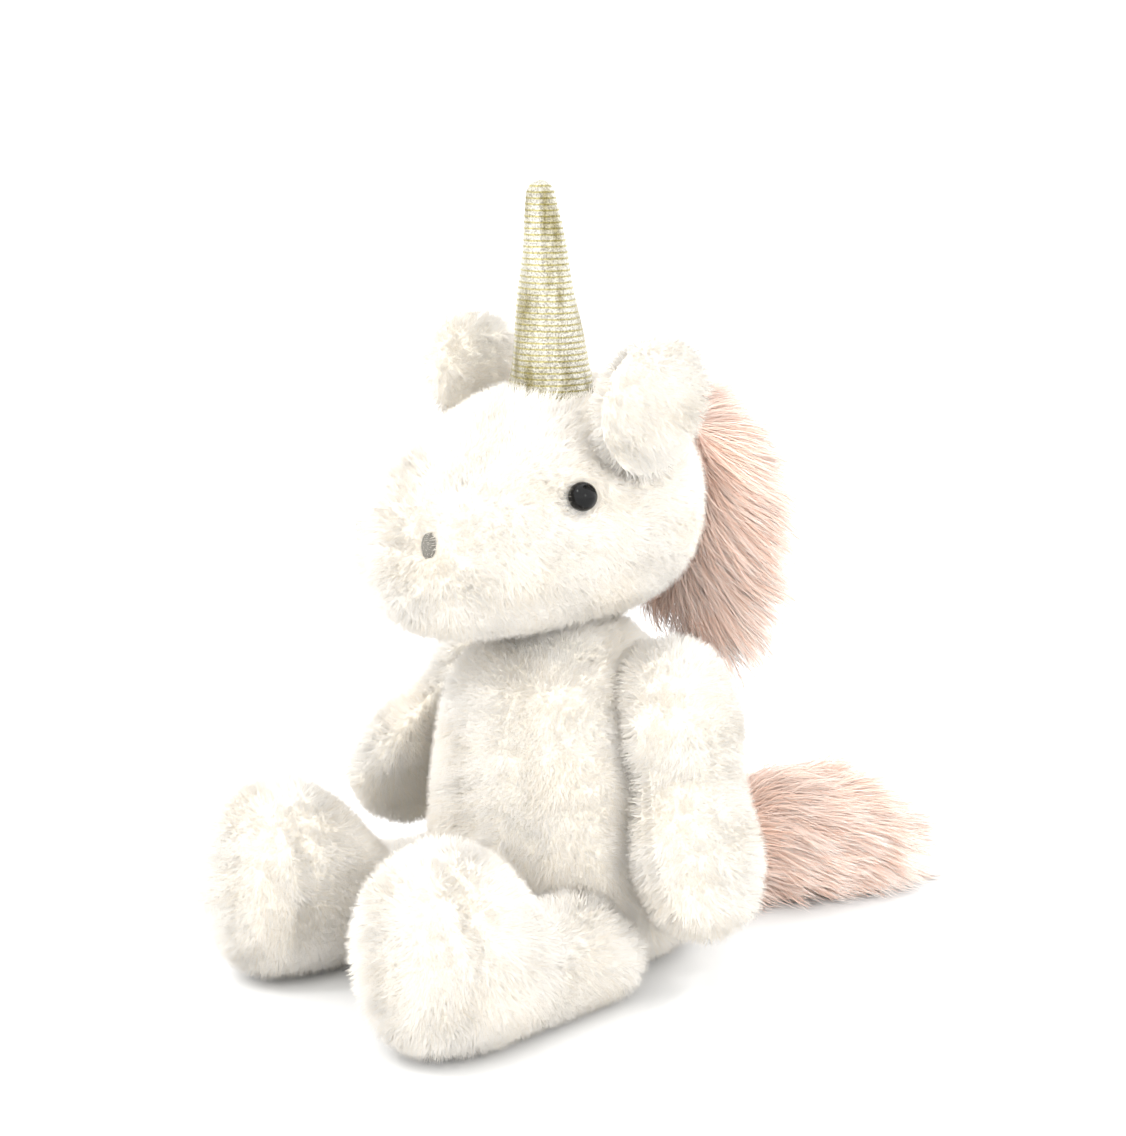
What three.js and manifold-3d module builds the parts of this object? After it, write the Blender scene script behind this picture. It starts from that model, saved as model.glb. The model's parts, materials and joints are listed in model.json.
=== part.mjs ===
// Plush unicorn, sitting, with ball-jointed seams at the neck, shoulders, hips and tail.
// Millimetres, +Z up. It faces -Y, its left side is +X, and the origin is on the floor
// under the middle of the seat. Each limb ends in a stuffed ball that sits in a matching
// socket, and a ring of sewing thread lies in the gap between the two.
import * as THREE from 'three';
import { mergeVertices } from 'three/addons/utils/BufferGeometryUtils.js';
import Module from 'manifold-3d';

const wasm = await Module();
wasm.setup();

// ---- fabric, thread and gaps -------------------------------------------------------
const PILE = 5;              // plush fabric, backing and pile together
const KNIT = 1.2;            // metallic knit of the horn
const GAP = 0.4;             // between pieces that touch
const CLEARANCE = 1.2;       // between a limb and the body it moves past
const THREAD = 0.4;          // radius of a sewn seam's thread
const THREAD_SEAT = 0.2;     // between the thread and the stuffed ball it is sewn to
const JOINT_GAP = 1.9;       // between a stuffed ball and its socket
const ROUND = 16;            // facets round a skin, and the fewest round a joint's ball
const BALL_SAG = 0.54;       // most that a facet of a joint's ball may cut inside it
const COARSE = 10;           // facets round a hollow or a filling
const FLOOR = 0;

// ---- torso: [height, half width, half depth, centre x, centre y] ---------------------
const TORSO_HEIGHT = 120;
const TORSO_HALF_WIDTH = 47.5;
const TORSO_HALF_DEPTH = 54;
const SEAT_HALF_WIDTH = 34;
const SEAT_HALF_DEPTH = 38;
const SEAT_CENTRE = 2;
const CHEST_CENTRE = -7;
const SIDE_SEAM_Y = -3;      // plane between the belly panel and the back panels

// ---- head: [distance forward, half width, half height, centre x, centre z] -----------
const HEAD_BACK = 41;
const HEAD_LENGTH = 130;
const HEAD_HALF_WIDTH = 44.5;
const HEAD_HALF_HEIGHT = 44;
const HEAD_CENTRE_Z = TORSO_HEIGHT + HEAD_HALF_HEIGHT;   // the head sits on the torso's top
const MUZZLE_HALF_WIDTH = 31;
const MUZZLE_HALF_HEIGHT = 32.5;
const MUZZLE_DROP = 9;       // centre of the muzzle below the centre of the head
const MUZZLE_CENTRE_Z = HEAD_CENTRE_Z - MUZZLE_DROP;
const GUSSET_DROP = 4;       // lower edge of the gusset below the centre of the head

// ---- joints --------------------------------------------------------------------------
const NECK_Y = -4;
const NECK_DROP = 16;        // centre below the torso's top
const NECK = new THREE.Vector3(0, NECK_Y, TORSO_HEIGHT - NECK_DROP);
const NECK_BALL = 26;
const NECK_RING_RISE = 0.654 * NECK_BALL;   // from the ball's centre up to the ring of thread
const SHOULDER_INSET = 5.5;  // centre inside the torso's half width
const SHOULDER_Y = 6;
const SHOULDER_DROP = 20;    // centre below the torso's top
const SHOULDER = new THREE.Vector3(
  TORSO_HALF_WIDTH - SHOULDER_INSET, SHOULDER_Y, TORSO_HEIGHT - SHOULDER_DROP);
const SHOULDER_BALL = 15.5;
const SHOULDER_RING_DEPTH = 8;
const HIP_SIDE_INSET = 7.5;  // centre inside the torso's half width
const HIP_FRONT_INSET = 18;  // centre inside the torso's half depth
const HIP_HEIGHT = 21;
const HIP = new THREE.Vector3(
  TORSO_HALF_WIDTH - HIP_SIDE_INSET, HIP_FRONT_INSET - TORSO_HALF_DEPTH, HIP_HEIGHT);
const HIP_BALL = 19;
const HIP_RING_DEPTH = 15.5;
const HIP_RING_WAY = new THREE.Vector3(-0.5, 0.87, 0);
const TAIL_INSET = 4;        // centre inside the torso's half depth
const TAIL_ROOT_HEIGHT = 20;
const TAIL_ROOT = new THREE.Vector3(0, TORSO_HALF_DEPTH - TAIL_INSET, TAIL_ROOT_HEIGHT);
const TAIL_BALL = 10;
const TAIL_RING_DEPTH = 3;

// ---- arms ----------------------------------------------------------------------------
const ARM_LENGTH = 87;       // shoulder to finger tips
const ARM_HALF_WIDTH = 18;
const ARM_HALF_BREADTH = 24;
const PAW_HALF_WIDTH = 19;
const PAW_HALF_BREADTH = 27;
const ARM_HANG = new THREE.Vector3(0.36, -0.1, -0.93);   // way a left arm hangs
const LEFT_ARM_POSE = { swing: 0, spread: 0 };           // degrees forward and outward
const RIGHT_ARM_POSE = { swing: 24, spread: 9 };

// ---- legs ----------------------------------------------------------------------------
const LEG_HALF_WIDTH = 24;
const LEG_HEIGHT = 39;
const FOOT_HALF_WIDTH = 30;
const FOOT_HEIGHT = 73;
const FOOT_SPLAY = 6;        // foot's centre further out than the hip
const SHIN_LENGTH = 55;      // hip to the foot's centre
const FOOT_DEPTH = 35;       // foot's centre to its front
const SOLE_SEAM_DEPTH = 11;  // foot's centre to the seam round the sole
const FOOT_CENTRE_X = HIP.x + FOOT_SPLAY;
const FOOT_CENTRE_Y = HIP.y - SHIN_LENGTH;
const FOOT_FRONT_Y = FOOT_CENTRE_Y - FOOT_DEPTH;
const SOLE_SEAM_Y = FOOT_CENTRE_Y - SOLE_SEAM_DEPTH;
// Turns of the torso, in degrees, as a leg sees it over its lift and its spread.
const LEG_LIFTS = [14, 0, -18, -37];
const LEG_SPREADS = [-12, 0, 6];
const THIGH_REACH = 27;      // how far the thigh runs back past the hip, beside the seat

// ---- horn ----------------------------------------------------------------------------
const HORN_BASE_Y = -11;
const HORN_LENGTH = 68.5;
const HORN_BASE_RADIUS = 14.3;
const HORN_TIP_RADIUS = 4.2;
const HORN_LEAN = -0.08;     // radians, towards the face
const HORN_PIVOT_RISE = 9;   // pivot above the horn's rim
const HORN_SINK = 2;         // rim below the top of the head's pile
const GUSSET_MARGIN = 0.7;   // the gusset is this much wider than the horn on each side

// ---- ears ----------------------------------------------------------------------------
const EAR_ROOT_RADIUS = 4.6;
const EAR_ROOT_HALF_LENGTH = 12;
const EAR_HALF_WIDTH = 20;
const EAR_HALF_THICKNESS = 8;
const EAR_HEIGHT = 38;       // above its seam
const EAR_Y = -8;
const EAR_SIDE_SHARE = 0.86; // how far out on the head's half width an ear is sewn
const EAR_LEAN = 11;         // outwards, from seam to tip
const LEFT_EAR_DROOP = 13;   // how far a cheek of each ear hangs below its seam
const RIGHT_EAR_DROOP = 6;

// ---- face ----------------------------------------------------------------------------
const EYE_RADIUS = 4.9;
const EYE_Y = -31;
const EYE_RISE = 9.5;        // above the centre of the head
const EYE_Z = HEAD_CENTRE_Z + EYE_RISE;
const EYE_SINK = 2.3;        // dome centre below the tips of the pile
const SHANK_RADIUS = 1.6;
const SHANK_LENGTH = 7;
const WASHER_RADIUS = 5.5;
const WASHER_THICKNESS = 1.2;
const NOSTRIL_SETBACK = 7;   // behind the tip of the muzzle
const NOSTRIL_RISE = 6;      // above the centre of the muzzle
const NOSTRIL_Y = HEAD_BACK - HEAD_LENGTH + NOSTRIL_SETBACK;
const NOSTRIL_Z = MUZZLE_CENTRE_Z + NOSTRIL_RISE;
const NOSTRIL_HALF_WIDTH = 2.2;
const NOSTRIL_HALF_HEIGHT = 4;
const NOSTRIL_DEPTH = 2.4;

// ---- mane and tail -------------------------------------------------------------------
const MANE_TOP_DROP = 4;     // below the top of the head
const MANE_LENGTH = 112;
const MANE_HALF_WIDTH = 27;
const MANE_HALF_DEPTH = 20;
const MANE_TAPE_HALF_WIDTH = 4;
const MANE_TAPE_DEPTH = 1.6;
const MANE_TAPE_HALF_LENGTH = 25;
const TAIL_LENGTH = 108;
const TAIL_SWEEP = 26;       // sideways drift of the tip, towards the left
const TAIL_HALF_WIDTH = 24;
const TAIL_HEIGHT = 52;
const TAIL_CORE_RADIUS = 5;
const TAIL_CORE_LENGTH = 62;
// Turns of the torso, in degrees, as the tail sees it over its lift and its wag.
const TAIL_LIFTS = [14, 0, -37];
const TAIL_WAGS = [-34, 0, 34];

// ---- filling -------------------------------------------------------------------------
const POUCH_HEIGHT = 22;
const POUCH_INSET = 9;

// ---- geometry helpers ----------------------------------------------------------------
const UP = new THREE.Matrix4();
const FORWARD = new THREE.Matrix4().makeBasis(
  new THREE.Vector3(1, 0, 0), new THREE.Vector3(0, 0, 1), new THREE.Vector3(0, -1, 0));
const BACKWARD = new THREE.Matrix4().makeBasis(
  new THREE.Vector3(-1, 0, 0), new THREE.Vector3(0, 0, 1), new THREE.Vector3(0, 1, 0));
const HALF_SPACE = 400;

// A closed geometry as a manifold solid.
function solid(geometry) {
  geometry.deleteAttribute('normal');
  geometry.deleteAttribute('uv');
  const merged = mergeVertices(geometry, 1e-4);
  const index = merged.index.array;
  const triVerts = [];
  for (let i = 0; i < index.length; i += 3) {
    const [a, b, c] = [index[i], index[i + 1], index[i + 2]];
    if (a !== b && b !== c && c !== a) triVerts.push(a, b, c);
  }
  const vertProperties = new Float32Array(merged.attributes.position.array);
  return new wasm.Manifold(new wasm.Mesh({
    numProp: 3, vertProperties, triVerts: new Uint32Array(triVerts) }));
}

// A rounded body lofted through stations [distance, half width, half depth, centre u, centre v].
// Its first and last stations have no width. Nothing of it goes below the floor.
function softBody(stations, basis, sides = ROUND) {
  const size = new THREE.CatmullRomCurve3(
    stations.map(([along, width, depth]) => new THREE.Vector3(width, depth, along)));
  const middle = new THREE.CatmullRomCurve3(
    stations.map(([, , , u, v], i) => new THREE.Vector3(u, v, 20 * i)));
  const rows = stations.length - 1;
  const positions = [];
  const point = new THREE.Vector3();
  for (let row = 0; row <= rows; row++) {
    const section = size.getPoint(row / rows);
    const centre = middle.getPoint(row / rows);
    const pole = row === 0 || row === rows;
    for (let side = 0; side < (pole ? 1 : sides); side++) {
      const turn = 2 * Math.PI * side / sides;
      const width = pole ? 0 : section.x;
      const depth = pole ? 0 : section.y;
      point.set(centre.x + width * Math.cos(turn), centre.y + depth * Math.sin(turn), section.z);
      point.applyMatrix4(basis);
      positions.push(point.x, point.y, Math.max(point.z, FLOOR));
    }
  }
  const last = positions.length / 3 - 1;
  const at = (row, side) => 1 + (row - 1) * sides + (side % sides);
  const index = [];
  for (let side = 0; side < sides; side++) {
    index.push(0, at(1, side + 1), at(1, side));
    index.push(last, at(rows - 1, side), at(rows - 1, side + 1));
    for (let row = 1; row < rows - 1; row++) {
      index.push(at(row, side), at(row, side + 1), at(row + 1, side + 1));
      index.push(at(row, side), at(row + 1, side + 1), at(row + 1, side));
    }
  }
  const geometry = new THREE.BufferGeometry();
  geometry.setAttribute('position', new THREE.Float32BufferAttribute(positions, 3));
  geometry.setIndex(index);
  return solid(geometry);
}

// The same stations grown outwards, or shrunk when the amount is negative.
function grown(stations, amount, floorRise = 0) {
  const [start, end] = [stations[0][0], stations[stations.length - 1][0]];
  const middle = (start + end) / 2;
  const stretch = 1 + 2 * amount / (end - start);
  return stations.map(([along, width, depth, u, v]) => {
    const open = width > 0;
    return [middle + (along - middle) * stretch, open ? Math.max(width + amount, 1) : 0,
      open ? Math.max(depth + amount - floorRise / 2, 1) : 0, u, v + floorRise / 2];
  });
}

// Enough facets that none cuts deeper into a ball than the thread in its joint allows.
function ballSides(radius) {
  return Math.max(ROUND, 2 * Math.ceil(Math.PI / Math.acos(1 - BALL_SAG / radius) / 2));
}

function ball(centre, radius, sides = ballSides(radius)) {
  const geometry = new THREE.SphereGeometry(radius, sides, Math.round(sides / 2));
  geometry.rotateX(Math.PI / 2);
  geometry.translate(centre.x, centre.y, centre.z);
  return solid(geometry);
}

function block(low, high) {
  const size = new THREE.Vector3().subVectors(high, low);
  const geometry = new THREE.BoxGeometry(size.x, size.y, size.z);
  geometry.translate(...new THREE.Vector3().addVectors(low, high).multiplyScalar(0.5));
  return solid(geometry);
}

// Everything on one side of a seam plane, half a gap away from it.
function beyond(axis, sign, place) {
  const low = new THREE.Vector3(-HALF_SPACE, -HALF_SPACE, -HALF_SPACE);
  const high = new THREE.Vector3(HALF_SPACE, HALF_SPACE, HALF_SPACE);
  if (sign > 0) low[axis] = place + GAP / 2;
  else high[axis] = place - GAP / 2;
  return block(low, high);
}

// A turned shape about a line from a point along a direction.
function turned(profile, from, along, sides = ROUND) {
  const points = profile.map(([r, h]) => new THREE.Vector2(r, h));
  const geometry = new THREE.LatheGeometry(points, sides);
  const turn = new THREE.Quaternion().setFromUnitVectors(
    new THREE.Vector3(0, 1, 0), along.clone().normalize());
  geometry.applyQuaternion(turn);
  geometry.translate(from.x, from.y, from.z);
  return solid(geometry);
}

// A ring of thread that lies between a ball and its socket, in a plane off the ball's centre.
function seamRing(centre, axis, radius, offset) {
  const ringRadius = Math.sqrt(radius ** 2 - offset ** 2);
  const geometry = new THREE.TorusGeometry(ringRadius, THREAD, 4, ballSides(radius));
  const way = axis.clone().normalize();
  geometry.applyQuaternion(new THREE.Quaternion().setFromUnitVectors(new THREE.Vector3(0, 0, 1), way));
  const place = centre.clone().addScaledVector(way, offset);
  geometry.translate(place.x, place.y, place.z);
  return solid(geometry);
}

const mirrored = (v, side) => new THREE.Vector3(v.x * side, v.y, v.z);
const socketRadius = (ballRadius) => ballRadius + JOINT_GAP;
const threadRadius = (ballRadius) => ballRadius + THREAD_SEAT + THREAD;

// ---- materials and the scene graph -----------------------------------------------------
function paint(color, roughness, metalness = 0) {
  return () => new THREE.MeshStandardMaterial({ color, roughness, metalness });
}
const whitePlush = paint(0xf8f4ea, 0.95);
const pinkPile = paint(0xfbd9cc, 0.9);
const backingTape = paint(0xf3c9bb, 0.9);
const fibre = paint(0xf4f4f2, 1);
const pellets = paint(0xe9e4da, 0.7);
const thread = paint(0xece7dc, 0.8);
const glossBlack = paint(0x0a0a0c, 0.08);
const washerPlastic = paint(0xd8d8d6, 0.5);
const greyThread = paint(0x8c887d, 0.8);
const goldKnit = paint(0xdad7c0, 0.35, 0.8);

const unicorn = new THREE.Group();

// A group at a joint's centre. What is added to it keeps its place in the whole.
function jointGroup(centre, parent = unicorn) {
  const group = new THREE.Group();
  const parentPlace = parent.userData.place ?? new THREE.Vector3();
  group.userData.place = centre.clone();
  group.position.subVectors(centre, parentPlace);
  parent.add(group);
  return group;
}

// A cut can leave a loose crumb beside the piece itself, which is the largest of them.
function largest(body) {
  const pieces = body.decompose();
  return pieces.reduce((best, piece) => (piece.volume() > best.volume() ? piece : best));
}

function addPiece(group, name, body, material) {
  const place = group.userData.place ?? new THREE.Vector3();
  const { vertProperties, triVerts } = largest(body).getMesh();
  const geometry = new THREE.BufferGeometry();
  geometry.setAttribute('position', new THREE.Float32BufferAttribute(vertProperties, 3));
  geometry.setIndex(Array.from(triVerts));
  geometry.translate(-place.x, -place.y, -place.z);
  const mesh = new THREE.Mesh(geometry, material());
  mesh.name = name;
  group.add(mesh);
}

// ---- torso -------------------------------------------------------------------------------
const torsoStations = [
  [0, 0, 0, 0, SEAT_CENTRE],
  [0, SEAT_HALF_WIDTH, SEAT_HALF_DEPTH, 0, SEAT_CENTRE],
  [0.08 * TORSO_HEIGHT, 0.91 * TORSO_HALF_WIDTH, 0.9 * TORSO_HALF_DEPTH, 0, 0],
  [0.23 * TORSO_HEIGHT, 0.99 * TORSO_HALF_WIDTH, 0.985 * TORSO_HALF_DEPTH, 0, -2],
  [0.4 * TORSO_HEIGHT, TORSO_HALF_WIDTH, TORSO_HALF_DEPTH, 0, -3],
  [0.58 * TORSO_HEIGHT, 0.95 * TORSO_HALF_WIDTH, 0.95 * TORSO_HALF_DEPTH, 0, -4],
  [0.75 * TORSO_HEIGHT, 0.87 * TORSO_HALF_WIDTH, 0.86 * TORSO_HALF_DEPTH, 0, -6],
  [0.88 * TORSO_HEIGHT, 0.77 * TORSO_HALF_WIDTH, 0.77 * TORSO_HALF_DEPTH, 0, CHEST_CENTRE],
  [0.955 * TORSO_HEIGHT, 0.56 * TORSO_HALF_WIDTH, 0.57 * TORSO_HALF_DEPTH, 0, CHEST_CENTRE],
  [TORSO_HEIGHT, 0, 0, 0, CHEST_CENTRE],
];
const shoulders = [1, -1].map((side) => mirrored(SHOULDER, side));
const hips = [1, -1].map((side) => mirrored(HIP, side));

function limbSockets(extra, sides) {
  const sockets = [
    ...shoulders.map((place) => ball(place, socketRadius(SHOULDER_BALL) + extra, sides)),
    ...hips.map((place) => ball(place, socketRadius(HIP_BALL) + extra, sides)),
    ball(TAIL_ROOT, socketRadius(TAIL_BALL) + extra, sides),
  ];
  return sockets.reduce((all, socket) => all.add(socket));
}

const torsoOuter = softBody(torsoStations, UP).add(ball(NECK, NECK_BALL));
const torsoCore = softBody(grown(torsoStations, -PILE), UP, COARSE)
  .add(ball(NECK, NECK_BALL - PILE, COARSE));
const torsoFilling = softBody(grown(torsoStations, -PILE - GAP), UP, COARSE)
  .add(ball(NECK, NECK_BALL - PILE - GAP, COARSE));
const torsoSkin = torsoOuter.subtract(torsoCore).subtract(limbSockets(0));

// The seat is a flat disc of plush that closes the bottom of the torso.
const seatDisc = (rim) => softBody([
  [0, 0, 0, 0, SEAT_CENTRE],
  [0, SEAT_HALF_WIDTH + rim, SEAT_HALF_DEPTH + rim, 0, SEAT_CENTRE],
  [PILE + GAP, SEAT_HALF_WIDTH + rim, SEAT_HALF_DEPTH + rim, 0, SEAT_CENTRE],
  [PILE + GAP, 0, 0, 0, SEAT_CENTRE],
], UP);
const seatPanel = torsoSkin.intersect(seatDisc(-2));
const torsoSides = torsoSkin.subtract(seatDisc(-2 + GAP));
addPiece(unicorn, 'torso_seat_panel', seatPanel, whitePlush);
addPiece(unicorn, 'torso_belly_panel', torsoSides.intersect(beyond('y', -1, SIDE_SEAM_Y)), whitePlush);
const torsoBack = torsoSides.intersect(beyond('y', 1, SIDE_SEAM_Y));
addPiece(unicorn, 'torso_back_panel_left', torsoBack.intersect(beyond('x', 1, 0)), whitePlush);
addPiece(unicorn, 'torso_back_panel_right', torsoBack.intersect(beyond('x', -1, 0)), whitePlush);

const pouchStations = [
  [PILE + 2 * GAP, 0, 0, 0, SEAT_CENTRE],
  [PILE + 2 * GAP, SEAT_HALF_WIDTH - POUCH_INSET, SEAT_HALF_DEPTH - POUCH_INSET, 0, SEAT_CENTRE],
  [PILE + POUCH_HEIGHT / 2, SEAT_HALF_WIDTH - POUCH_INSET / 2, SEAT_HALF_DEPTH - POUCH_INSET / 2,
    0, SEAT_CENTRE],
  [PILE + POUCH_HEIGHT, 0, 0, 0, SEAT_CENTRE],
];
// The pouch lies in a hollow of the stuffing that is open towards the seat.
const limbHollows = limbSockets(PILE / 2, COARSE);
const pouchSpace = softBody(grown(pouchStations, 2 * GAP), UP, COARSE);
const pouchHollow = pouchSpace.add(pouchSpace.translate([0, 0, -POUCH_HEIGHT / 3]));
addPiece(unicorn, 'torso_stuffing', torsoFilling.subtract(limbHollows).subtract(pouchHollow), fibre);
addPiece(unicorn, 'seat_pellet_pouch',
  softBody(pouchStations, UP, COARSE).subtract(limbHollows), pellets);

// Head, arms, legs and tail keep clear of the torso's swell.
const torsoKeepOut = softBody(grown(torsoStations, CLEARANCE), UP);

// The torso as a limb sees it: turned about the limb's joint by each lift and each sideways turn.
function sweptTorso(joint, margin, lifts, turns) {
  const torso = softBody(grown(torsoStations, margin), UP, COARSE)
    .translate([-joint.x, -joint.y, -joint.z]);
  return lifts.flatMap((lift) => turns.map((turn) => torso.rotate([lift, 0, turn])))
    .reduce((all, turned) => all.add(turned))
    .translate([joint.x, joint.y, joint.z]);
}

// ---- head --------------------------------------------------------------------------------
const headAt = (share) => -HEAD_BACK + share * HEAD_LENGTH;
const blend = (from, to, share) => from + (to - from) * share;
function headStation(share, full, muzzle) {
  const width = blend(HEAD_HALF_WIDTH, MUZZLE_HALF_WIDTH, muzzle) * full;
  const height = blend(HEAD_HALF_HEIGHT, MUZZLE_HALF_HEIGHT, muzzle) * full;
  return [headAt(share), width, height, 0, blend(HEAD_CENTRE_Z, MUZZLE_CENTRE_Z, muzzle)];
}
const headStations = [
  headStation(0, 0, 0),
  headStation(0.035, 0.58, 0),
  headStation(0.13, 0.88, 0),
  headStation(0.28, 0.98, 0),
  headStation(0.43, 1, 0.05),
  headStation(0.58, 1, 0.22),
  headStation(0.73, 1, 0.62),
  headStation(0.87, 0.93, 1),
  headStation(0.965, 0.6, 1),
  headStation(1, 0, 1),
];
const headOuter = softBody(headStations, FORWARD);
const headCore = softBody(grown(headStations, -PILE), FORWARD, COARSE);
const headFilling = softBody(grown(headStations, -PILE - GAP), FORWARD, COARSE);

// Point on the head's surface at a height and a distance forward, on the side named.
function headSurface(y, z, side) {
  const share = (-y + HEAD_BACK) / HEAD_LENGTH;
  const curve = new THREE.CatmullRomCurve3(
    headStations.map(([along, width, height]) => new THREE.Vector3(width, height, along)));
  const centres = new THREE.CatmullRomCurve3(
    headStations.map(([along, , , , v]) => new THREE.Vector3(0, v, along)));
  let t = share;
  for (let i = 0; i < 30; i++) t += (-y - curve.getPoint(t).z) / (2 * HEAD_LENGTH);
  const section = curve.getPoint(t);
  const rise = (z - centres.getPoint(t).y) / section.y;
  const width = section.x * Math.sqrt(1 - rise ** 2);
  return new THREE.Vector3(side * width, y, z);
}

// The outward direction there, from two small steps along the surface.
function headNormal(y, z, side) {
  const step = 1.5;
  const at = (dy, dz) => headSurface(y + dy, z + dz, side);
  const alongY = at(step, 0).sub(at(-step, 0));
  const alongZ = at(0, step).sub(at(0, -step));
  return alongY.cross(alongZ).normalize().multiplyScalar(side);
}

// ---- horn --------------------------------------------------------------------------------
const hornWay = new THREE.Vector3(0, Math.sin(HORN_LEAN), Math.cos(HORN_LEAN));
const hornRim = new THREE.Vector3(0, HORN_BASE_Y, HEAD_CENTRE_Z + HEAD_HALF_HEIGHT - HORN_SINK);
const hornPivot = hornRim.clone().addScaledVector(hornWay, HORN_PIVOT_RISE);
const hornCapRadius = Math.hypot(HORN_BASE_RADIUS, HORN_PIVOT_RISE);

function hornProfile(inset, capGap) {
  const cap = hornCapRadius - capGap;
  const rimRadius = HORN_BASE_RADIUS - inset;
  const rimHeight = HORN_PIVOT_RISE - Math.sqrt(hornCapRadius ** 2 - rimRadius ** 2);
  const profile = [[0, HORN_PIVOT_RISE - cap]];
  const rimAngle = Math.asin(rimRadius / cap);
  for (let i = 1; i <= 4; i++) {
    const angle = rimAngle * i / 4;
    profile.push([cap * Math.sin(angle), HORN_PIVOT_RISE - cap * Math.cos(angle)]);
  }
  profile.push([rimRadius, rimHeight]);
  const tip = HORN_TIP_RADIUS - inset;
  const shoulder = HORN_LENGTH - HORN_TIP_RADIUS;
  for (let i = 1; i <= 4; i++) {
    const share = i / 4;
    profile.push([blend(rimRadius, tip, share) + 0.6 * Math.sin(Math.PI * share), shoulder * share]);
  }
  for (let i = 1; i <= 3; i++) {
    const angle = Math.PI / 2 * i / 3;
    profile.push([i === 3 ? 0 : tip * Math.cos(angle), shoulder + tip * Math.sin(angle)]);
  }
  return profile;
}
const hornSolid = turned(hornProfile(0, 0), hornRim, hornWay);
const hornFilling = turned(hornProfile(KNIT + GAP, 0), hornRim, hornWay);
const hornHollow = turned(hornProfile(KNIT, -2 * KNIT), hornRim, hornWay);
const hornSocket = ball(hornPivot, hornCapRadius + GAP + THREAD, 20);

// ---- eyes and nostrils -------------------------------------------------------------------
function eyePlace(side) {
  const way = headNormal(EYE_Y, EYE_Z, side);
  const centre = headSurface(EYE_Y, EYE_Z, side).addScaledVector(way, -EYE_SINK);
  return { way, centre };
}

// The eye's dome faces out. Its shank goes in through the fabric to the washer behind it.
function eyeSolid(side, play) {
  const { way, centre } = eyePlace(side);
  const radius = EYE_RADIUS + play;
  const profile = [[0, -SHANK_LENGTH - play], [SHANK_RADIUS + play, -SHANK_LENGTH - play],
    [SHANK_RADIUS + play, -1 - play], [radius * 0.94, -1 - play]];
  for (let i = 1; i <= 4; i++) {
    const angle = Math.PI / 2 * i / 4;
    profile.push([i === 4 ? 0 : radius * Math.cos(angle), radius * Math.sin(angle)]);
  }
  return turned(profile, centre, way, 12);
}

// The pocket in the pile runs straight out past the dome.
function eyePocket(side) {
  const { way, centre } = eyePlace(side);
  const radius = EYE_RADIUS + GAP;
  return turned([[0, -1 - GAP], [radius, -1 - GAP], [radius, 3 * EYE_RADIUS], [0, 3 * EYE_RADIUS]],
    centre, way, 12).add(eyeSolid(side, GAP));
}

const washerDrop = PILE - EYE_SINK + 2 * GAP + WASHER_THICKNESS;
function washerSolid(side, play) {
  const { way, centre } = eyePlace(side);
  const inner = SHANK_RADIUS + GAP - play;
  const [bottom, top] = [-washerDrop - play, -washerDrop + WASHER_THICKNESS + play];
  const outer = WASHER_RADIUS + play;
  return turned([[inner, bottom], [outer, bottom], [outer, top], [inner, top], [inner, bottom]],
    centre, way, 12);
}

function washerPocket(side) {
  const { way, centre } = eyePlace(side);
  const [bottom, top] = [-washerDrop - PILE, -washerDrop + WASHER_THICKNESS + GAP];
  const radius = WASHER_RADIUS + GAP;
  return turned([[0, bottom], [radius, bottom], [radius, top], [0, top]], centre, way, 12);
}

// What the stuffing leaves free for the shank and washer: a plain round hollow.
function washerHollow(side) {
  const { way, centre } = eyePlace(side);
  const [radius, bottom] = [WASHER_RADIUS + GAP, -SHANK_LENGTH - GAP];
  return turned([[0, bottom], [radius, bottom], [radius, EYE_RADIUS], [0, EYE_RADIUS]], centre, way, 12);
}

function nostrilSolid(side, play) {
  const way = headNormal(NOSTRIL_Y, NOSTRIL_Z, side);
  const geometry = new THREE.SphereGeometry(1, 10, 6);
  geometry.scale(NOSTRIL_HALF_WIDTH + play, NOSTRIL_HALF_HEIGHT + play, NOSTRIL_DEPTH / 2 + play);
  const facing = new THREE.Matrix4().lookAt(way, new THREE.Vector3(), new THREE.Vector3(0, 0, 1));
  geometry.applyMatrix4(facing);
  const place = headSurface(NOSTRIL_Y, NOSTRIL_Z, side).addScaledVector(way, -NOSTRIL_DEPTH / 3);
  geometry.translate(place.x, place.y, place.z);
  return solid(geometry);
}

// ---- ears --------------------------------------------------------------------------------
const earX = EAR_SIDE_SHARE * HEAD_HALF_WIDTH;
const earZ = HEAD_CENTRE_Z + HEAD_HALF_HEIGHT * Math.sqrt(1 - EAR_SIDE_SHARE ** 2) + EAR_ROOT_RADIUS / 2;
const earRoot = (side) => new THREE.Vector3(side * earX, EAR_Y, earZ);

// A spindle about the ear's hinge line, so the ear can flop without leaving its groove.
function earSpindle(side, play) {
  const way = new THREE.Vector3(0, 1, 0);
  const profile = [];
  for (let i = 0; i <= 6; i++) {
    const share = -Math.cos(Math.PI * i / 6);
    const radius = (EAR_ROOT_RADIUS + play) * Math.sin(Math.PI * i / 6);
    profile.push([i % 6 ? radius : 0, share * (EAR_ROOT_HALF_LENGTH + play)]);
  }
  return turned(profile, earRoot(side), way, 14);
}

// A rounded leaf, broad along y. It stands on its seam, leans out and droops beside the head.
function earBlade(side, droop, inset) {
  const root = earRoot(side);
  const span = EAR_HEIGHT + droop;
  const at = (share, size) => [root.z - droop + share * span - (share > 0.5 ? inset : -inset),
    size * (EAR_HALF_THICKNESS - inset), size * (EAR_HALF_WIDTH - inset),
    root.x + side * (EAR_LEAN * 0.4 + EAR_LEAN * 0.6 * share), root.y];
  return softBody([at(0, 0), at(0.08, 0.42), at(0.28, 0.82), at(0.55, 1), at(0.8, 0.84),
    at(0.94, 0.5), at(1, 0)], UP, 12);
}

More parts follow.
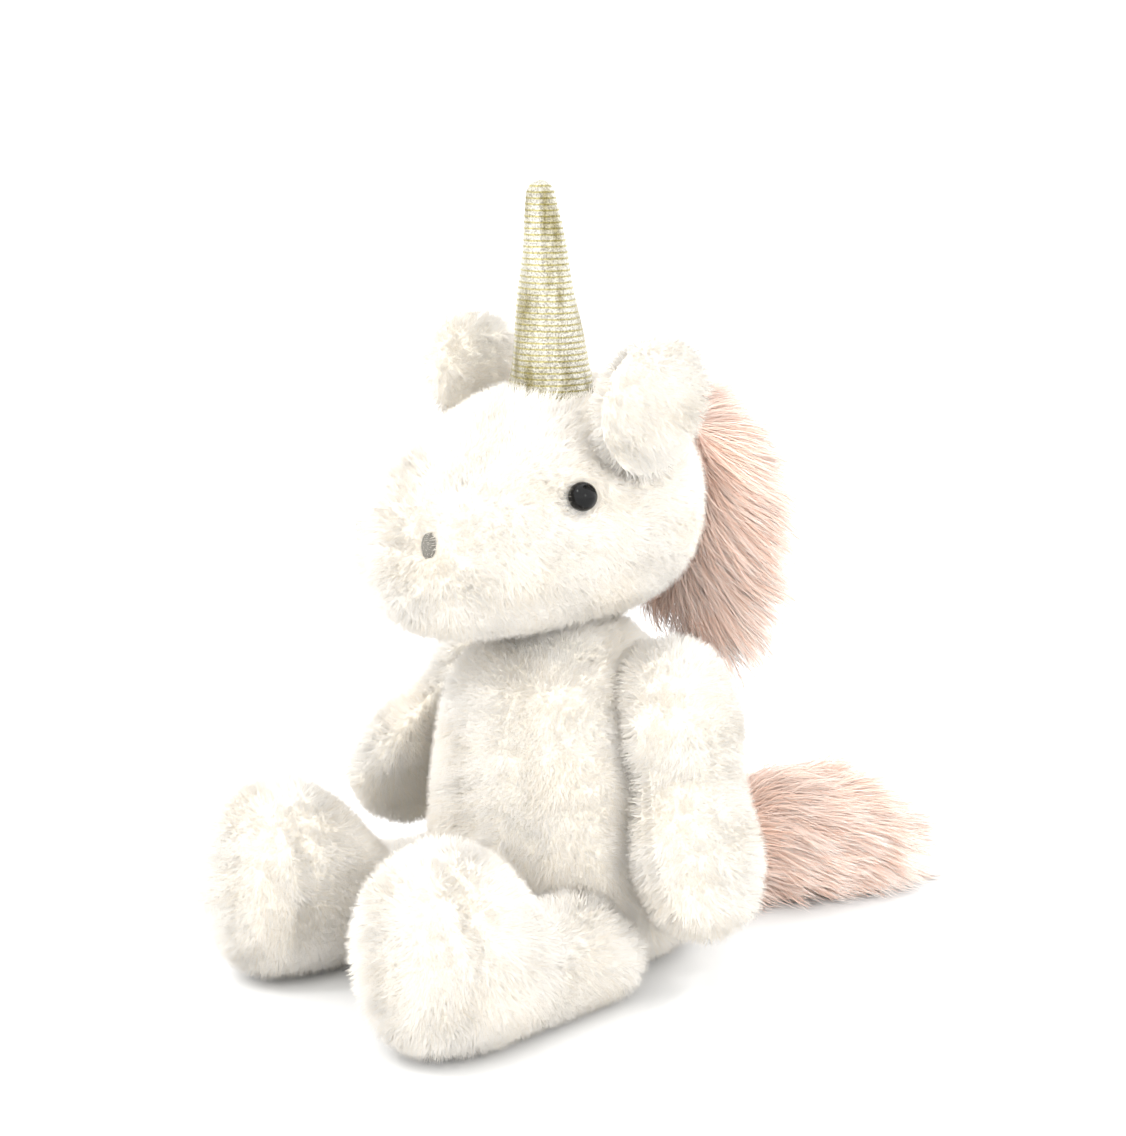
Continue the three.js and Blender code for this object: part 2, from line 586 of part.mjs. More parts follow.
const headGrown = softBody(grown(headStations, CLEARANCE), FORWARD);
const earGrooves = earSpindle(1, GAP).add(earSpindle(-1, GAP));
function earSolid(side, droop) {
  return earBlade(side, droop, 0).subtract(headGrown).add(earSpindle(side, 0));
}

// ---- head assembly -------------------------------------------------------------------------
const head = jointGroup(NECK);
const eyeHoles = eyePocket(1).add(eyePocket(-1)).add(washerPocket(1)).add(washerPocket(-1));
const nostrilPockets = nostrilSolid(1, GAP).add(nostrilSolid(-1, GAP));
const headSkin = headOuter.subtract(headCore)
  .subtract(ball(NECK, socketRadius(NECK_BALL)))
  .subtract(hornSocket)
  .subtract(earGrooves)
  .subtract(eyeHoles)
  .subtract(nostrilPockets);
const gussetHalfWidth = HORN_BASE_RADIUS + GUSSET_MARGIN;
const gussetBlock = (rim) => block(
  new THREE.Vector3(-gussetHalfWidth - rim, -HALF_SPACE, HEAD_CENTRE_Z - GUSSET_DROP - rim),
  new THREE.Vector3(gussetHalfWidth + rim, HEAD_BACK - 8 + rim, HALF_SPACE));
const headSides = headSkin.subtract(gussetBlock(GAP));
addPiece(head, 'head_gusset_panel', headSkin.intersect(gussetBlock(0)), whitePlush);
addPiece(head, 'head_side_panel_left', headSides.intersect(beyond('x', 1, 0)), whitePlush);
addPiece(head, 'head_side_panel_right', headSides.intersect(beyond('x', -1, 0)), whitePlush);
const headStuffing = headFilling
  .subtract(ball(NECK, socketRadius(NECK_BALL) + PILE / 2, COARSE))
  .subtract(ball(hornPivot, hornCapRadius + PILE / 2, COARSE))
  .subtract(earSpindle(1, 2 * GAP)).subtract(earSpindle(-1, 2 * GAP))
  .subtract(washerHollow(1)).subtract(washerHollow(-1));
addPiece(head, 'head_stuffing', headStuffing, fibre);

const SIDE_NAMES = [['left', 1], ['right', -1]];
for (const [name, side] of SIDE_NAMES) {
  addPiece(head, `${name}_eye`, eyeSolid(side, 0), glossBlack);
  addPiece(head, `${name}_eye_washer`, washerSolid(side, 0), washerPlastic);
  addPiece(head, `${name}_nostril_embroidery`, nostrilSolid(side, 0), greyThread);
}

const neckSeam = jointGroup(NECK);
addPiece(neckSeam, 'neck_stitching',
  seamRing(NECK, new THREE.Vector3(0, 0, 1), threadRadius(NECK_BALL), NECK_RING_RISE), thread);

const horn = jointGroup(hornPivot, head);
addPiece(horn, 'horn_cover', hornSolid.subtract(hornHollow), goldKnit);
addPiece(horn, 'horn_stuffing', hornFilling, fibre);

for (const [name, side, droop] of [['left', 1, LEFT_EAR_DROOP], ['right', -1, RIGHT_EAR_DROOP]]) {
  const earGroup = jointGroup(earRoot(side), head);
  const ear = earSolid(side, droop);
  const seamX = side * (earX + 0.75 * EAR_LEAN);
  addPiece(earGroup, `${name}_ear_outer_panel`, ear.intersect(beyond('x', side, seamX)), whitePlush);
  addPiece(earGroup, `${name}_ear_inner_panel`, ear.intersect(beyond('x', -side, seamX)), whitePlush);
}

// ---- mane ----------------------------------------------------------------------------------
const maneTop = HEAD_CENTRE_Z + HEAD_HALF_HEIGHT - MANE_TOP_DROP;
const maneStation = (share, size, y) => [maneTop - (1 - share) * MANE_LENGTH,
  size * MANE_HALF_WIDTH, size * MANE_HALF_DEPTH, 0, y];
const nape = HEAD_BACK + MANE_HALF_DEPTH;
const maneStations = [
  maneStation(0, 0, nape + 3),
  maneStation(0.08, 0.5, nape + 1),
  maneStation(0.28, 0.85, nape - 1),
  maneStation(0.55, 1, nape - 2),
  maneStation(0.78, 0.95, nape - 10),
  maneStation(0.93, 0.7, nape - 22),
  maneStation(1, 0, nape - 32),
];
const manePile = softBody(maneStations, UP).subtract(softBody(grown(headStations, GAP), FORWARD))
  .subtract(torsoKeepOut);
const tapeBlock = (play) => block(
  new THREE.Vector3(-MANE_TAPE_HALF_WIDTH - play, HEAD_BACK - 12 - play,
    HEAD_CENTRE_Z - MANE_TAPE_HALF_LENGTH - play),
  new THREE.Vector3(MANE_TAPE_HALF_WIDTH + play, HALF_SPACE,
    HEAD_CENTRE_Z + MANE_TAPE_HALF_LENGTH + play));
// Everything within a distance of the head's surface.
const nearHead = (distance) => softBody(grown(headStations, distance), FORWARD);
const tapeSlot = tapeBlock(GAP).intersect(nearHead(2 * GAP + MANE_TAPE_DEPTH));
const tape = tapeBlock(0).intersect(nearHead(GAP + MANE_TAPE_DEPTH)).subtract(nearHead(GAP));
addPiece(head, 'mane_pile', manePile.subtract(tapeSlot), pinkPile);
addPiece(head, 'mane_backing_tape', tape, backingTape);

// ---- arms ----------------------------------------------------------------------------------
// Stations run down the arm from its shoulder to the tip of the paw.
const armStations = [
  [-0.12 * ARM_LENGTH, 0, 0, 0, 0],
  [-0.06 * ARM_LENGTH, 0.6 * ARM_HALF_WIDTH, 0.6 * ARM_HALF_BREADTH, 0, 0],
  [0.12 * ARM_LENGTH, 0.9 * ARM_HALF_WIDTH, 0.92 * ARM_HALF_BREADTH, 0, 0],
  [0.38 * ARM_LENGTH, ARM_HALF_WIDTH, ARM_HALF_BREADTH, 0, 0],
  [0.66 * ARM_LENGTH, PAW_HALF_WIDTH, PAW_HALF_BREADTH, 0, 0],
  [0.88 * ARM_LENGTH, 0.78 * PAW_HALF_WIDTH, 0.78 * PAW_HALF_BREADTH, 0, 0],
  [ARM_LENGTH, 0, 0, 0, 0],
];
// The room an arm leaves for the torso at any angle of its swing: the widest that the torso gets
// within each distance of the shoulder, turned about the swing's axis.
function armKeepOut(side, play) {
  const widths = new THREE.CatmullRomCurve3(
    grown(torsoStations, play).map(([along, width]) => new THREE.Vector3(width, 0, along)));
  const below = widths.getPoints(30).reverse().filter((p) => p.z < SHOULDER.z && p.z > 0);
  const profile = [[0, 0], [SHOULDER.z, 0]];
  let widest = 0;
  const rim = below.map((p) => {
    widest = Math.max(widest, p.x);
    return [SHOULDER.z - p.z, widest];
  });
  rim.unshift([0, rim[0][1]]);
  rim.push([SHOULDER.z, widest]);
  return turned([...profile, ...rim.reverse()], new THREE.Vector3(0, SHOULDER.y, SHOULDER.z),
    new THREE.Vector3(side, 0, 0), 2 * ROUND);
}

function armBasis(shoulder, way) {
  const down = way.clone().normalize();
  const across = new THREE.Vector3(1, 0, 0).addScaledVector(down, -down.x).normalize();
  const breadth = new THREE.Vector3().crossVectors(down, across);
  return new THREE.Matrix4().makeBasis(across, breadth, down).setPosition(shoulder);
}

// Half spaces either side of the plane through a limb's centre line and its breadth.
function seamSide(basis, sign) {
  const geometry = new THREE.BoxGeometry(HALF_SPACE, HALF_SPACE, HALF_SPACE);
  geometry.translate(sign * (HALF_SPACE / 2 + GAP / 2), 0, 0);
  geometry.applyMatrix4(basis);
  return solid(geometry);
}

// An arm is cut as it hangs beside the torso, and then its group swings and spreads to its rest.
function addArm(name, side, pose) {
  const shoulder = mirrored(SHOULDER, side);
  const basis = armBasis(shoulder, mirrored(ARM_HANG, side));
  const whole = (inset, sides) => softBody(grown(armStations, -inset), basis, sides)
    .subtract(armKeepOut(side, CLEARANCE + inset))
    .add(ball(shoulder, SHOULDER_BALL - inset, sides));
  const skin = whole(0, ROUND).subtract(whole(PILE, COARSE));
  const group = jointGroup(shoulder);
  addPiece(group, `${name}_arm_outer_panel`, skin.intersect(seamSide(basis, side)), whitePlush);
  addPiece(group, `${name}_arm_inner_panel`, skin.intersect(seamSide(basis, -side)), whitePlush);
  addPiece(group, `${name}_arm_stuffing`, whole(PILE + GAP, COARSE), fibre);
  const swing = THREE.MathUtils.degToRad(-pose.swing);
  const spread = THREE.MathUtils.degToRad(-pose.spread * side);
  group.rotation.set(swing, spread, 0, 'XYZ');
  const seam = jointGroup(shoulder);
  const inward = new THREE.Vector3(-side, 0, 0);
  addPiece(seam, `${name}_shoulder_stitching`,
    seamRing(shoulder, inward, threadRadius(SHOULDER_BALL), SHOULDER_RING_DEPTH), thread);
}

addArm('left', 1, LEFT_ARM_POSE);
addArm('right', -1, RIGHT_ARM_POSE);

// ---- legs ----------------------------------------------------------------------------------
// Stations run forward from the hip to the front of the foot.
function legStations(side) {
  const hipX = side * HIP.x;
  const footX = side * FOOT_CENTRE_X;
  const reach = HIP.y - FOOT_FRONT_Y;
  const footShare = (HIP.y - FOOT_CENTRE_Y) / reach;
  const back = -THIGH_REACH / reach;
  const station = (share, width, height, x, centre = height / 2 - 1) =>
    [-HIP.y + share * reach, width, height / 2 + (width ? 1 : 0), x, centre];
  const footCentre = FOOT_HEIGHT / 2 - 1;
  return [
    station(back, 0, 0, hipX, LEG_HEIGHT / 2),
    station(back * 0.88, 0.5 * LEG_HALF_WIDTH, 0.5 * LEG_HEIGHT, hipX, LEG_HEIGHT * 0.45),
    station(back * 0.5, 0.86 * LEG_HALF_WIDTH, 0.8 * LEG_HEIGHT, hipX),
    station(0.1, LEG_HALF_WIDTH, LEG_HEIGHT, hipX),
    station(0.42 * footShare, 1.02 * LEG_HALF_WIDTH, 1.02 * LEG_HEIGHT, blend(hipX, footX, 0.4)),
    station(0.72 * footShare, 0.9 * FOOT_HALF_WIDTH, 0.86 * FOOT_HEIGHT, blend(hipX, footX, 0.8)),
    station(footShare, FOOT_HALF_WIDTH, FOOT_HEIGHT, footX),
    station(0.8, 0.93 * FOOT_HALF_WIDTH, 0.92 * FOOT_HEIGHT, footX, footCentre),
    station(0.94, 0.66 * FOOT_HALF_WIDTH, 0.66 * FOOT_HEIGHT, footX, footCentre),
    station(1, 0, 0, footX, footCentre),
  ];
}

// The torso as a leg meets it over its lift and spread, and behind the hip its full width.
function legKeepOut(side, inset, sides) {
  const margin = CLEARANCE + inset;
  const halfWidth = TORSO_HALF_WIDTH + margin;
  const torso = softBody(grown(torsoStations, margin), UP, sides);
  const beside = block(new THREE.Vector3(-halfWidth, HIP.y + HIP_BALL / 2 - inset, -HALF_SPACE),
    new THREE.Vector3(halfWidth, HALF_SPACE, HALF_SPACE));
  const spreads = LEG_SPREADS.map((spread) => spread * side);
  return torso.add(beside).add(sweptTorso(mirrored(HIP, side), margin, LEG_LIFTS, spreads));
}

function addLeg(name, side) {
  const hip = mirrored(HIP, side);
  const stations = legStations(side);
  const whole = (inset, sides) => softBody(grown(stations, -inset), FORWARD, sides)
    .subtract(legKeepOut(side, inset, sides))
    .add(ball(hip, HIP_BALL - inset, sides));
  const lift = (inset, body) => body.intersect(block(
    new THREE.Vector3(-HALF_SPACE, -HALF_SPACE, inset),
    new THREE.Vector3(HALF_SPACE, HALF_SPACE, HALF_SPACE)));
  const skin = whole(0, ROUND).subtract(lift(PILE, whole(PILE, COARSE)));
  const group = jointGroup(hip);
  const sleeve = skin.intersect(beyond('y', 1, SOLE_SEAM_Y));
  const legPlane = side * (HIP.x + FOOT_CENTRE_X) / 2;
  addPiece(group, `${name}_leg_outer_panel`, sleeve.intersect(beyond('x', side, legPlane)), whitePlush);
  addPiece(group, `${name}_leg_inner_panel`, sleeve.intersect(beyond('x', -side, legPlane)), whitePlush);
  addPiece(group, `${name}_foot_sole_panel`, skin.intersect(beyond('y', -1, SOLE_SEAM_Y)), whitePlush);
  addPiece(group, `${name}_leg_stuffing`, lift(PILE + GAP, whole(PILE + GAP, COARSE)), fibre);
  const seam = jointGroup(hip);
  addPiece(seam, `${name}_hip_stitching`,
    seamRing(hip, mirrored(HIP_RING_WAY, side), threadRadius(HIP_BALL), HIP_RING_DEPTH), thread);
}
addLeg('left', 1);
addLeg('right', -1);

// ---- tail ----------------------------------------------------------------------------------
const tailStation = (share, size, height) => [TAIL_ROOT.y + share * TAIL_LENGTH, size * TAIL_HALF_WIDTH,
  height * TAIL_HEIGHT / 2, -TAIL_SWEEP * Math.max(share, 0) ** 1.3, height * TAIL_HEIGHT / 2];
const tailStations = [
  tailStation(-0.04, 0, 0.7),
  tailStation(0.02, 0.32, 0.36),
  tailStation(0.17, 0.7, 0.78),
  tailStation(0.38, 1, 1),
  tailStation(0.62, 0.95, 0.9),
  tailStation(0.85, 0.6, 0.5),
  tailStation(1, 0, 0.3),
];
const tailCoreWay = new THREE.Vector3(TAIL_SWEEP * 0.45, TAIL_LENGTH, 6).normalize();
// The rolled backing cloth that the tail's pile is sewn to, from the knob to a narrower end.
function tailCore(play) {
  const radius = TAIL_CORE_RADIUS + play;
  const end = TAIL_CORE_LENGTH + play;
  return turned([[0, -TAIL_BALL / 2], [radius, -TAIL_BALL / 2], [radius, end - 6],
    [0.6 * TAIL_CORE_RADIUS + play, end], [0, end]], TAIL_ROOT, tailCoreWay, 12);
}
const tail = jointGroup(TAIL_ROOT);
const tailKnob = ball(TAIL_ROOT, TAIL_BALL);
const tailPile = softBody(tailStations, BACKWARD)
  .subtract(sweptTorso(TAIL_ROOT, CLEARANCE, TAIL_LIFTS, TAIL_WAGS))
  .subtract(torsoKeepOut)
  .subtract(ball(TAIL_ROOT, socketRadius(TAIL_BALL)))
  .subtract(tailCore(GAP));
addPiece(tail, 'tail_pile', tailPile, pinkPile);
addPiece(tail, 'tail_core', tailKnob.add(tailCore(0)), backingTape);
const tailSeam = jointGroup(TAIL_ROOT);
addPiece(tailSeam, 'tail_stitching',
  seamRing(TAIL_ROOT, new THREE.Vector3(0, -1, 0), threadRadius(TAIL_BALL), TAIL_RING_DEPTH), thread);

export default unicorn;
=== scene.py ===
"""Looks of the plush unicorn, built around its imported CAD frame.

Each stuffed body gets a sewn fabric shell, and each CAD panel gets the pile that grows on its
share of that shell: a thin tapered spike for every bundle of fibres. The mane and the tail have
long curved strands on a pink backing.
"""

import json
import math

import bmesh
import bpy
import numpy as np
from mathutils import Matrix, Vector
from mathutils.bvhtree import BVHTree
from mathutils.kdtree import KDTree


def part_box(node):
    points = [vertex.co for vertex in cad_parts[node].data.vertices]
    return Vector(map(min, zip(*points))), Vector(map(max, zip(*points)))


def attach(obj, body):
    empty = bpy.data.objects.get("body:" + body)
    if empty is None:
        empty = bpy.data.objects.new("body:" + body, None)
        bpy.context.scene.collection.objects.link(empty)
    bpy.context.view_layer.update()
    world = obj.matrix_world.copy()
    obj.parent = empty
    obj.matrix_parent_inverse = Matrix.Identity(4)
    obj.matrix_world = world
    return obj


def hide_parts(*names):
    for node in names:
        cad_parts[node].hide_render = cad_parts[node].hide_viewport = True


MM = 0.001
UP = np.array([0.0, 0.0, 1.0])
SIDES = ("left", "right")
OUTWARD = {"left": 1.0, "right": -1.0}     # along x
FLOOR_CLEARANCE = 0.3 * MM
SEED = 7
TOUSLE_WAVES = 5
SPIKE_SIDES = 3
SPIKE_TAPER = 0.55             # share of its radius that a strand loses on its way up

# ---- fabric shells -------------------------------------------------------------------------
SHELL_VOXEL = 3.4 * MM
SHELL_SMOOTHING = 16
EVEN_SMOOTHING = 5             # after the shell is fitted to the CAD surface
OUTSIDE = 12 * MM              # where the fitting lines start, outside the shell
BODY_SWELL = 2.0 * MM          # furthest that stuffing pushes the fabric of torso and head
LIMB_SWELL = 1.6 * MM
STUFFING_PRESSURE = 4.0
STUFFING_FRAMES = 20
SEAM_REACH = 2.6 * MM          # how far from a seam the fabric dips
SEAM_DIP = 1.3 * MM
PLUMP_RADIUS = 20 * MM         # round each sewn joint
PLUMP_FADE = 14 * MM
NECK_PLUMPNESS = -1.2 * MM     # how far the fabric there stands past the CAD surface
ARM_PLUMPNESS = 3.5 * MM
EAR_DEPTH = 1.2 * MM
EAR_VOXEL = 2.2 * MM
EAR_SMOOTHING = 5
EAR_BREADTH = 1.28             # of the fluffed ear over its panel

# ---- white plush ---------------------------------------------------------------------------
PILE_DEPTH = 3.0 * MM          # fabric shell below the CAD surface
PILE_LENGTH = 5.8 * MM
EAR_PILE_LENGTH = 5.2 * MM
SHORTEST_PILE = 0.78           # share of the length
PILE_VARIETY = 0.32
PILE_DENSITY = 3.9e6           # spikes on a square metre
PILE_RADIUS = 0.135 * MM
PILE_ROOT = 0.3 * MM           # below the fabric
PILE_LEAN = 0.26
PILE_SWIRL = 0.2
PILE_STRAY = 0.2
TUFT_SPACING = 4.2 * MM
TUFT_PULL = 0.28
MOST_STRANDS = 60000           # in one piece
SOFT_SHADING = 0.8             # share of the fabric's own normal in the pile's shading
NECK_BARE = 15 * MM            # no pile inside these distances of a sewn joint
SHOULDER_BARE = 8 * MM
ARM_BARE = 9 * MM
HIP_BARE = 13 * MM
LEG_BARE = 12 * MM

# ---- mane and tail -------------------------------------------------------------------------
BACKING_DEPTH = 8.0 * MM
BACKING_SMOOTHING = 10
LONG_DENSITY = 2.5e6
LONG_STRANDS = 7200            # in one piece
LONG_PIECES = 5
LONG_SEGMENTS = 5
LONG_RADIUS = 0.105 * MM
LONG_ROOT = 0.5 * MM
SHORTEST_LONG = 0.55           # share of the length
LONG_VARIETY = 0.65
LONG_SWIRL = 0.5
LONG_STRAY = 0.15
LOCK_SPACING = 8.0 * MM
LOCK_PULL = 0.7
LONG_UPLIGHT = 1.1             # how far the shading of long pile turns up
MANE_REACH = 30 * MM
MANE_LIFT = 1.1
MANE_HALF_WIDTH = 27 * MM
MANE_FOOT = 92 * MM
MANE_HEIGHT = 112 * MM
NAPE_FRONT = 58 * MM           # no long pile on the mane's side to the nape, below its top
NAPE_TOP = 122 * MM
TAIL_REACH = 26 * MM
TAIL_LIFT = 0.9
TAIL_START = 50 * MM
TAIL_LENGTH = 108 * MM
TAIL_SWEEP = 26 * MM           # how far to the side its end lies
TAIL_SPREAD = 60 * MM

# ---- face ----------------------------------------------------------------------------------
EYE_RADIUS = 4.9 * MM
EYE_DEPTH = 4.6 * MM
EYE_BARE = 4.9 * MM
EYE_DIMPLE = 1.0 * MM          # how far the eye's washer pulls the fabric in
DIMPLE_REACH = 8 * MM
FEATURE_PARTING = 3 * MM       # the pile leans away from eyes and nostrils this near
FEATURE_TRIM = 2.5 * MM        # and is shorter this near
SHORTEST_TRIM = 0.65
BRIDGE = np.array([20, -62, 172]) * MM    # fullest place beside the bridge of the nose
BRIDGE_FILL = 3.2 * MM
BRIDGE_REACH = 17 * MM
CROWN_FILL = 2.6 * MM          # round the foot of the horn
CROWN_REACH = 26 * MM
NOSTRIL_BARE = 4.0 * MM
NOSTRIL_SINK = 2.2 * MM
NOSTRIL_HALF_SIZES = (2.3 * MM, 4.3 * MM, 2.6 * MM)    # across, up and out
NOSTRIL_PAD = 0.9              # the pad under the stitches, as a share of their outline
NOSTRIL_FILLED = 0.94          # share of the height that has stitches
NOSTRIL_SLANT = 0.05
NOSTRIL_STITCHES = 11          # on each side of its middle
NOSTRIL_THREAD = 0.42 * MM

# ---- horn ----------------------------------------------------------------------------------
HORN_ROWS = 220
HORN_AROUND = 96
HORN_LEAN = 0.08               # radians towards the face
HORN_Y = -11 * MM
HORN_BASE_RADIUS = 14.7 * MM
HORN_TIP_RADIUS = 4.3 * MM
HORN_SINK = 1.5 * MM           # of its rim into the head's pile
HORN_BARE = 12.5 * MM
HORN_TIP_GAP = 0.4 * MM        # below the top of the CAD horn
HORN_FLARE = 0.9 * MM
HORN_FLARE_SHARE = 0.05        # of its length
HORN_COURSE = 2.0 * MM         # from one knitted ridge to the next
HORN_RIDGE = 0.06 * MM
HORN_CRUMPLE = 0.6 * MM
HORN_SEAM_ANGLE = 0.9
HORN_SEAM_DEPTH = 0.8 * MM
HORN_SEAM_WIDTH = 0.9 * MM
HORN_ROUNDING = 0.065          # share of its length that the rounded tip takes

# ---- seam thread ---------------------------------------------------------------------------
WHIP_PITCH = 3.2 * MM          # from one hand stitch to the next
WHIP_REACH = 0.9 * MM
WHIP_THREAD = 0.5 * MM
WHIP_POINTS = 12               # in one turn of the thread

# ---- studio --------------------------------------------------------------------------------
CAMERA_PLACE = (0.6280, -0.5459, 0.3180)
CAMERA_TARGET = (-0.0032, -0.0037, 0.1389)
CAMERA_LENS = 77.07
CAMERA_SENSOR = 36
LAMP_TARGET = (0, 0, 0.12)
LAMPS = {                      # place in metres, size in metres, power in watts
    "key_softbox": ((-0.1, -1.1, 1.45), 0.16, 4.5),
    "side_softbox": ((1.4, -0.4, 0.7), 0.12, 2.0),
}
PAPER = (0.74, 0.74, 0.735, 1)
SKY_STRENGTH = 1.85
EXPOSURE = 0.42

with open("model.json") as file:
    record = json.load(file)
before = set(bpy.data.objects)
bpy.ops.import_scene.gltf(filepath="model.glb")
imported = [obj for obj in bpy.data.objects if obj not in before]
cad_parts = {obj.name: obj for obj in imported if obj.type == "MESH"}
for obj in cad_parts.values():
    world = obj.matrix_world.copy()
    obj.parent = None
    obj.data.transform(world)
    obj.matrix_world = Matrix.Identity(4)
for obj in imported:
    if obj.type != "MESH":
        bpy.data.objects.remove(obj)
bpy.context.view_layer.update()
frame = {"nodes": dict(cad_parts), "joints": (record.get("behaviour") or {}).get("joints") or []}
NODES = frame["nodes"]
JOINTS = {joint["name"]: joint for joint in frame["joints"]}
rng = np.random.default_rng(SEED)
scene = bpy.context.scene


# ---- materials -----------------------------------------------------------------------------
def linear(red, green, blue):
    """A colour given as screen values from 0 to 255, as the shader wants it."""
    shares = [value / 255 for value in (red, green, blue)]
    return tuple(s / 12.92 if s <= 0.04045 else ((s + 0.055) / 1.055) ** 2.4 for s in shares) + (1,)


def principled(name, colour, roughness, **sockets):
    material = bpy.data.materials.new(name)
    material.use_nodes = True
    shader = material.node_tree.nodes["Principled BSDF"]
    shader.inputs["Base Color"].default_value = colour
    shader.inputs["Roughness"].default_value = roughness
    for socket, value in sockets.items():
        shader.inputs[socket.replace("_", " ")].default_value = value
    return material


def add_node(tree, kind, **inputs):
    node = tree.nodes.new(kind)
    for name, value in inputs.items():
        node.inputs[name.replace("_", " ")].default_value = value
    return node


def ramp_of(tree, factor, low, high, low_at=0.0, high_at=1.0):
    """The output of a colour ramp from low to high, driven by a factor."""
    ramp = tree.nodes.new("ShaderNodeValToRGB")
    start, end = ramp.color_ramp.elements
    start.position, start.color = low_at, low
    end.position, end.color = high_at, high
    tree.links.new(factor, ramp.inputs["Fac"])
    return ramp.outputs["Color"]


def product_of(tree, one, two, factor):
    mix = tree.nodes.new("ShaderNodeMix")
    mix.data_type = "RGBA"
    mix.blend_type = "MULTIPLY"
    mix.inputs["Factor"].default_value = factor
    tree.links.new(one, mix.inputs["A"])
    tree.links.new(two, mix.inputs["B"])
    return mix.outputs["Result"]


def add_relief(tree, height, strength, distance):
    relief = add_node(tree, "ShaderNodeBump", Strength=strength, Distance=distance)
    tree.links.new(height, relief.inputs["Height"])
    tree.links.new(relief.outputs["Normal"], tree.nodes["Principled BSDF"].inputs["Normal"])


def textured(material, kind, scale, low, high, bump, **inputs):
    """Varies a material's colour from low to high by a procedural texture, with a bump."""
    tree = material.node_tree
    place = tree.nodes.new("ShaderNodeTexCoord")
    texture = add_node(tree, kind, Scale=scale, **inputs)
    tree.links.new(place.outputs["Object"], texture.inputs["Vector"])
    factor = texture.outputs["Fac"] if "Fac" in texture.outputs else texture.outputs["Distance"]
    colour = ramp_of(tree, factor, low, high)
    tree.links.new(colour, tree.nodes["Principled BSDF"].inputs["Base Color"])
    add_relief(tree, factor, bump, 0.3 * MM)
    return material


def pile_material(name, colour):
    return principled(name, linear(*colour), 0.85, Sheen_Weight=0.1, Sheen_Roughness=0.5,
                      Specular_IOR_Level=0.15)


WHITE_PILE = [
    pile_material("white_pile_clear", (255, 251, 244)),
    pile_material("white_pile_cream", (255, 249, 239)),
    pile_material("white_pile_warm", (254, 246, 232)),
    pile_material("white_pile_shade", (252, 241, 224)),
]
PINK_PILE = [
    pile_material("pink_pile_pale", (255, 229, 215)),
    pile_material("pink_pile_mid", (254, 220, 202)),
    pile_material("pink_pile_deep", (252, 207, 184)),
    pile_material("pink_pile_tip", (255, 242, 233)),
]
PINK_TIP = 3
PLUSH_BACKING = textured(
    principled("plush_backing", linear(250, 245, 233), 0.95, Sheen_Weight=0.2),
    "ShaderNodeTexNoise", 900, linear(244, 236, 220), linear(254, 250, 240), 0.4, Detail=3.0)
PINK_BACKING = textured(
    principled("pink_backing", linear(246, 208, 192), 0.95),
    "ShaderNodeTexNoise", 700, linear(240, 196, 178), linear(250, 216, 202), 0.4, Detail=3.0)
PELLETS = textured(
    principled("pellet_bag_cloth", linear(233, 228, 218), 0.8),
    "ShaderNodeTexVoronoi", 420, linear(214, 208, 196), linear(240, 236, 228), 0.7)
THREAD = textured(
    principled("sewing_thread", linear(238, 231, 218), 0.8, Sheen_Weight=0.2),
    "ShaderNodeTexNoise", 2600, linear(226, 218, 203), linear(246, 241, 230), 0.5, Detail=2.0)
WASHER = textured(
    principled("washer_plastic", linear(216, 216, 214), 0.45),
    "ShaderNodeTexNoise", 380, linear(208, 208, 206), linear(222, 222, 220), 0.1, Detail=2.0)
EYE_GLOSS = textured(
    principled("eye_gloss_black", linear(8, 8, 9), 0.03, Specular_IOR_Level=0.2),
    "ShaderNodeTexNoise", 500, linear(4, 4, 5), linear(12, 12, 12), 0.02, Detail=2.0)
GREY_THREAD = textured(
    principled("grey_embroidery", linear(112, 109, 102), 0.55, Sheen_Weight=0.3),
    "ShaderNodeTexNoise", 3000, linear(80, 78, 72), linear(132, 128, 120), 0.5, Detail=3.0)


def knit_material():
    """Metallic knit: gold courses between silver ones, glints of foil, and long darker streaks of
    painted shade where its folds would be shaded.
    """
    material = principled("metallic_knit", linear(214, 210, 190), 0.36, Metallic=0.85,
                          Sheen_Weight=0.1)
    tree = material.node_tree
    shader = tree.nodes["Principled BSDF"]
    place = tree.nodes.new("ShaderNodeTexCoord").outputs["Object"]
    # A wave texture repeats every pi/10 units of its scaled coordinate.
    courses = add_node(tree, "ShaderNodeTexWave", Scale=math.pi / 10 / HORN_COURSE,
                       Distortion=0.5, Detail=2.0, Detail_Scale=3.0)
    courses.bands_direction = "Z"
    glints = add_node(tree, "ShaderNodeTexNoise", Scale=1500, Detail=3.0, Roughness=0.7)
    stretch = add_node(tree, "ShaderNodeMapping", Scale=(1.0, 1.0, 0.22))
    painted_fold_shade = add_node(tree, "ShaderNodeTexNoise", Scale=130, Detail=2.0)
    for node in (courses, glints, stretch):
        tree.links.new(place, node.inputs["Vector"])
    tree.links.new(stretch.outputs["Vector"], painted_fold_shade.inputs["Vector"])
    bands = ramp_of(tree, courses.outputs["Fac"], linear(178, 170, 118), linear(206, 203, 196),
                    0.05, 0.4)
    speckle = ramp_of(tree, glints.outputs["Fac"], linear(150, 147, 140), linear(255, 255, 250),
                      0.38, 0.6)
    # Painted shade: the noise stretched along the horn darkens long olive streaks of the colour,
    # standing in for the shade in folds.
    tone = ramp_of(tree, painted_fold_shade.outputs["Fac"], linear(186, 180, 150), linear(255, 255, 255),
                   0.4, 0.56)
    knit = product_of(tree, bands, speckle, 0.8)
    tree.links.new(product_of(tree, knit, tone, 1.0), shader.inputs["Base Color"])
    shine = add_node(tree, "ShaderNodeMapRange", To_Min=0.24, To_Max=0.55)
    tree.links.new(glints.outputs["Fac"], shine.inputs["Value"])
    tree.links.new(shine.outputs["Result"], shader.inputs["Roughness"])
    add_relief(tree, glints.outputs["Fac"], 0.9, 0.5 * MM)
    return material


METALLIC_KNIT = knit_material()


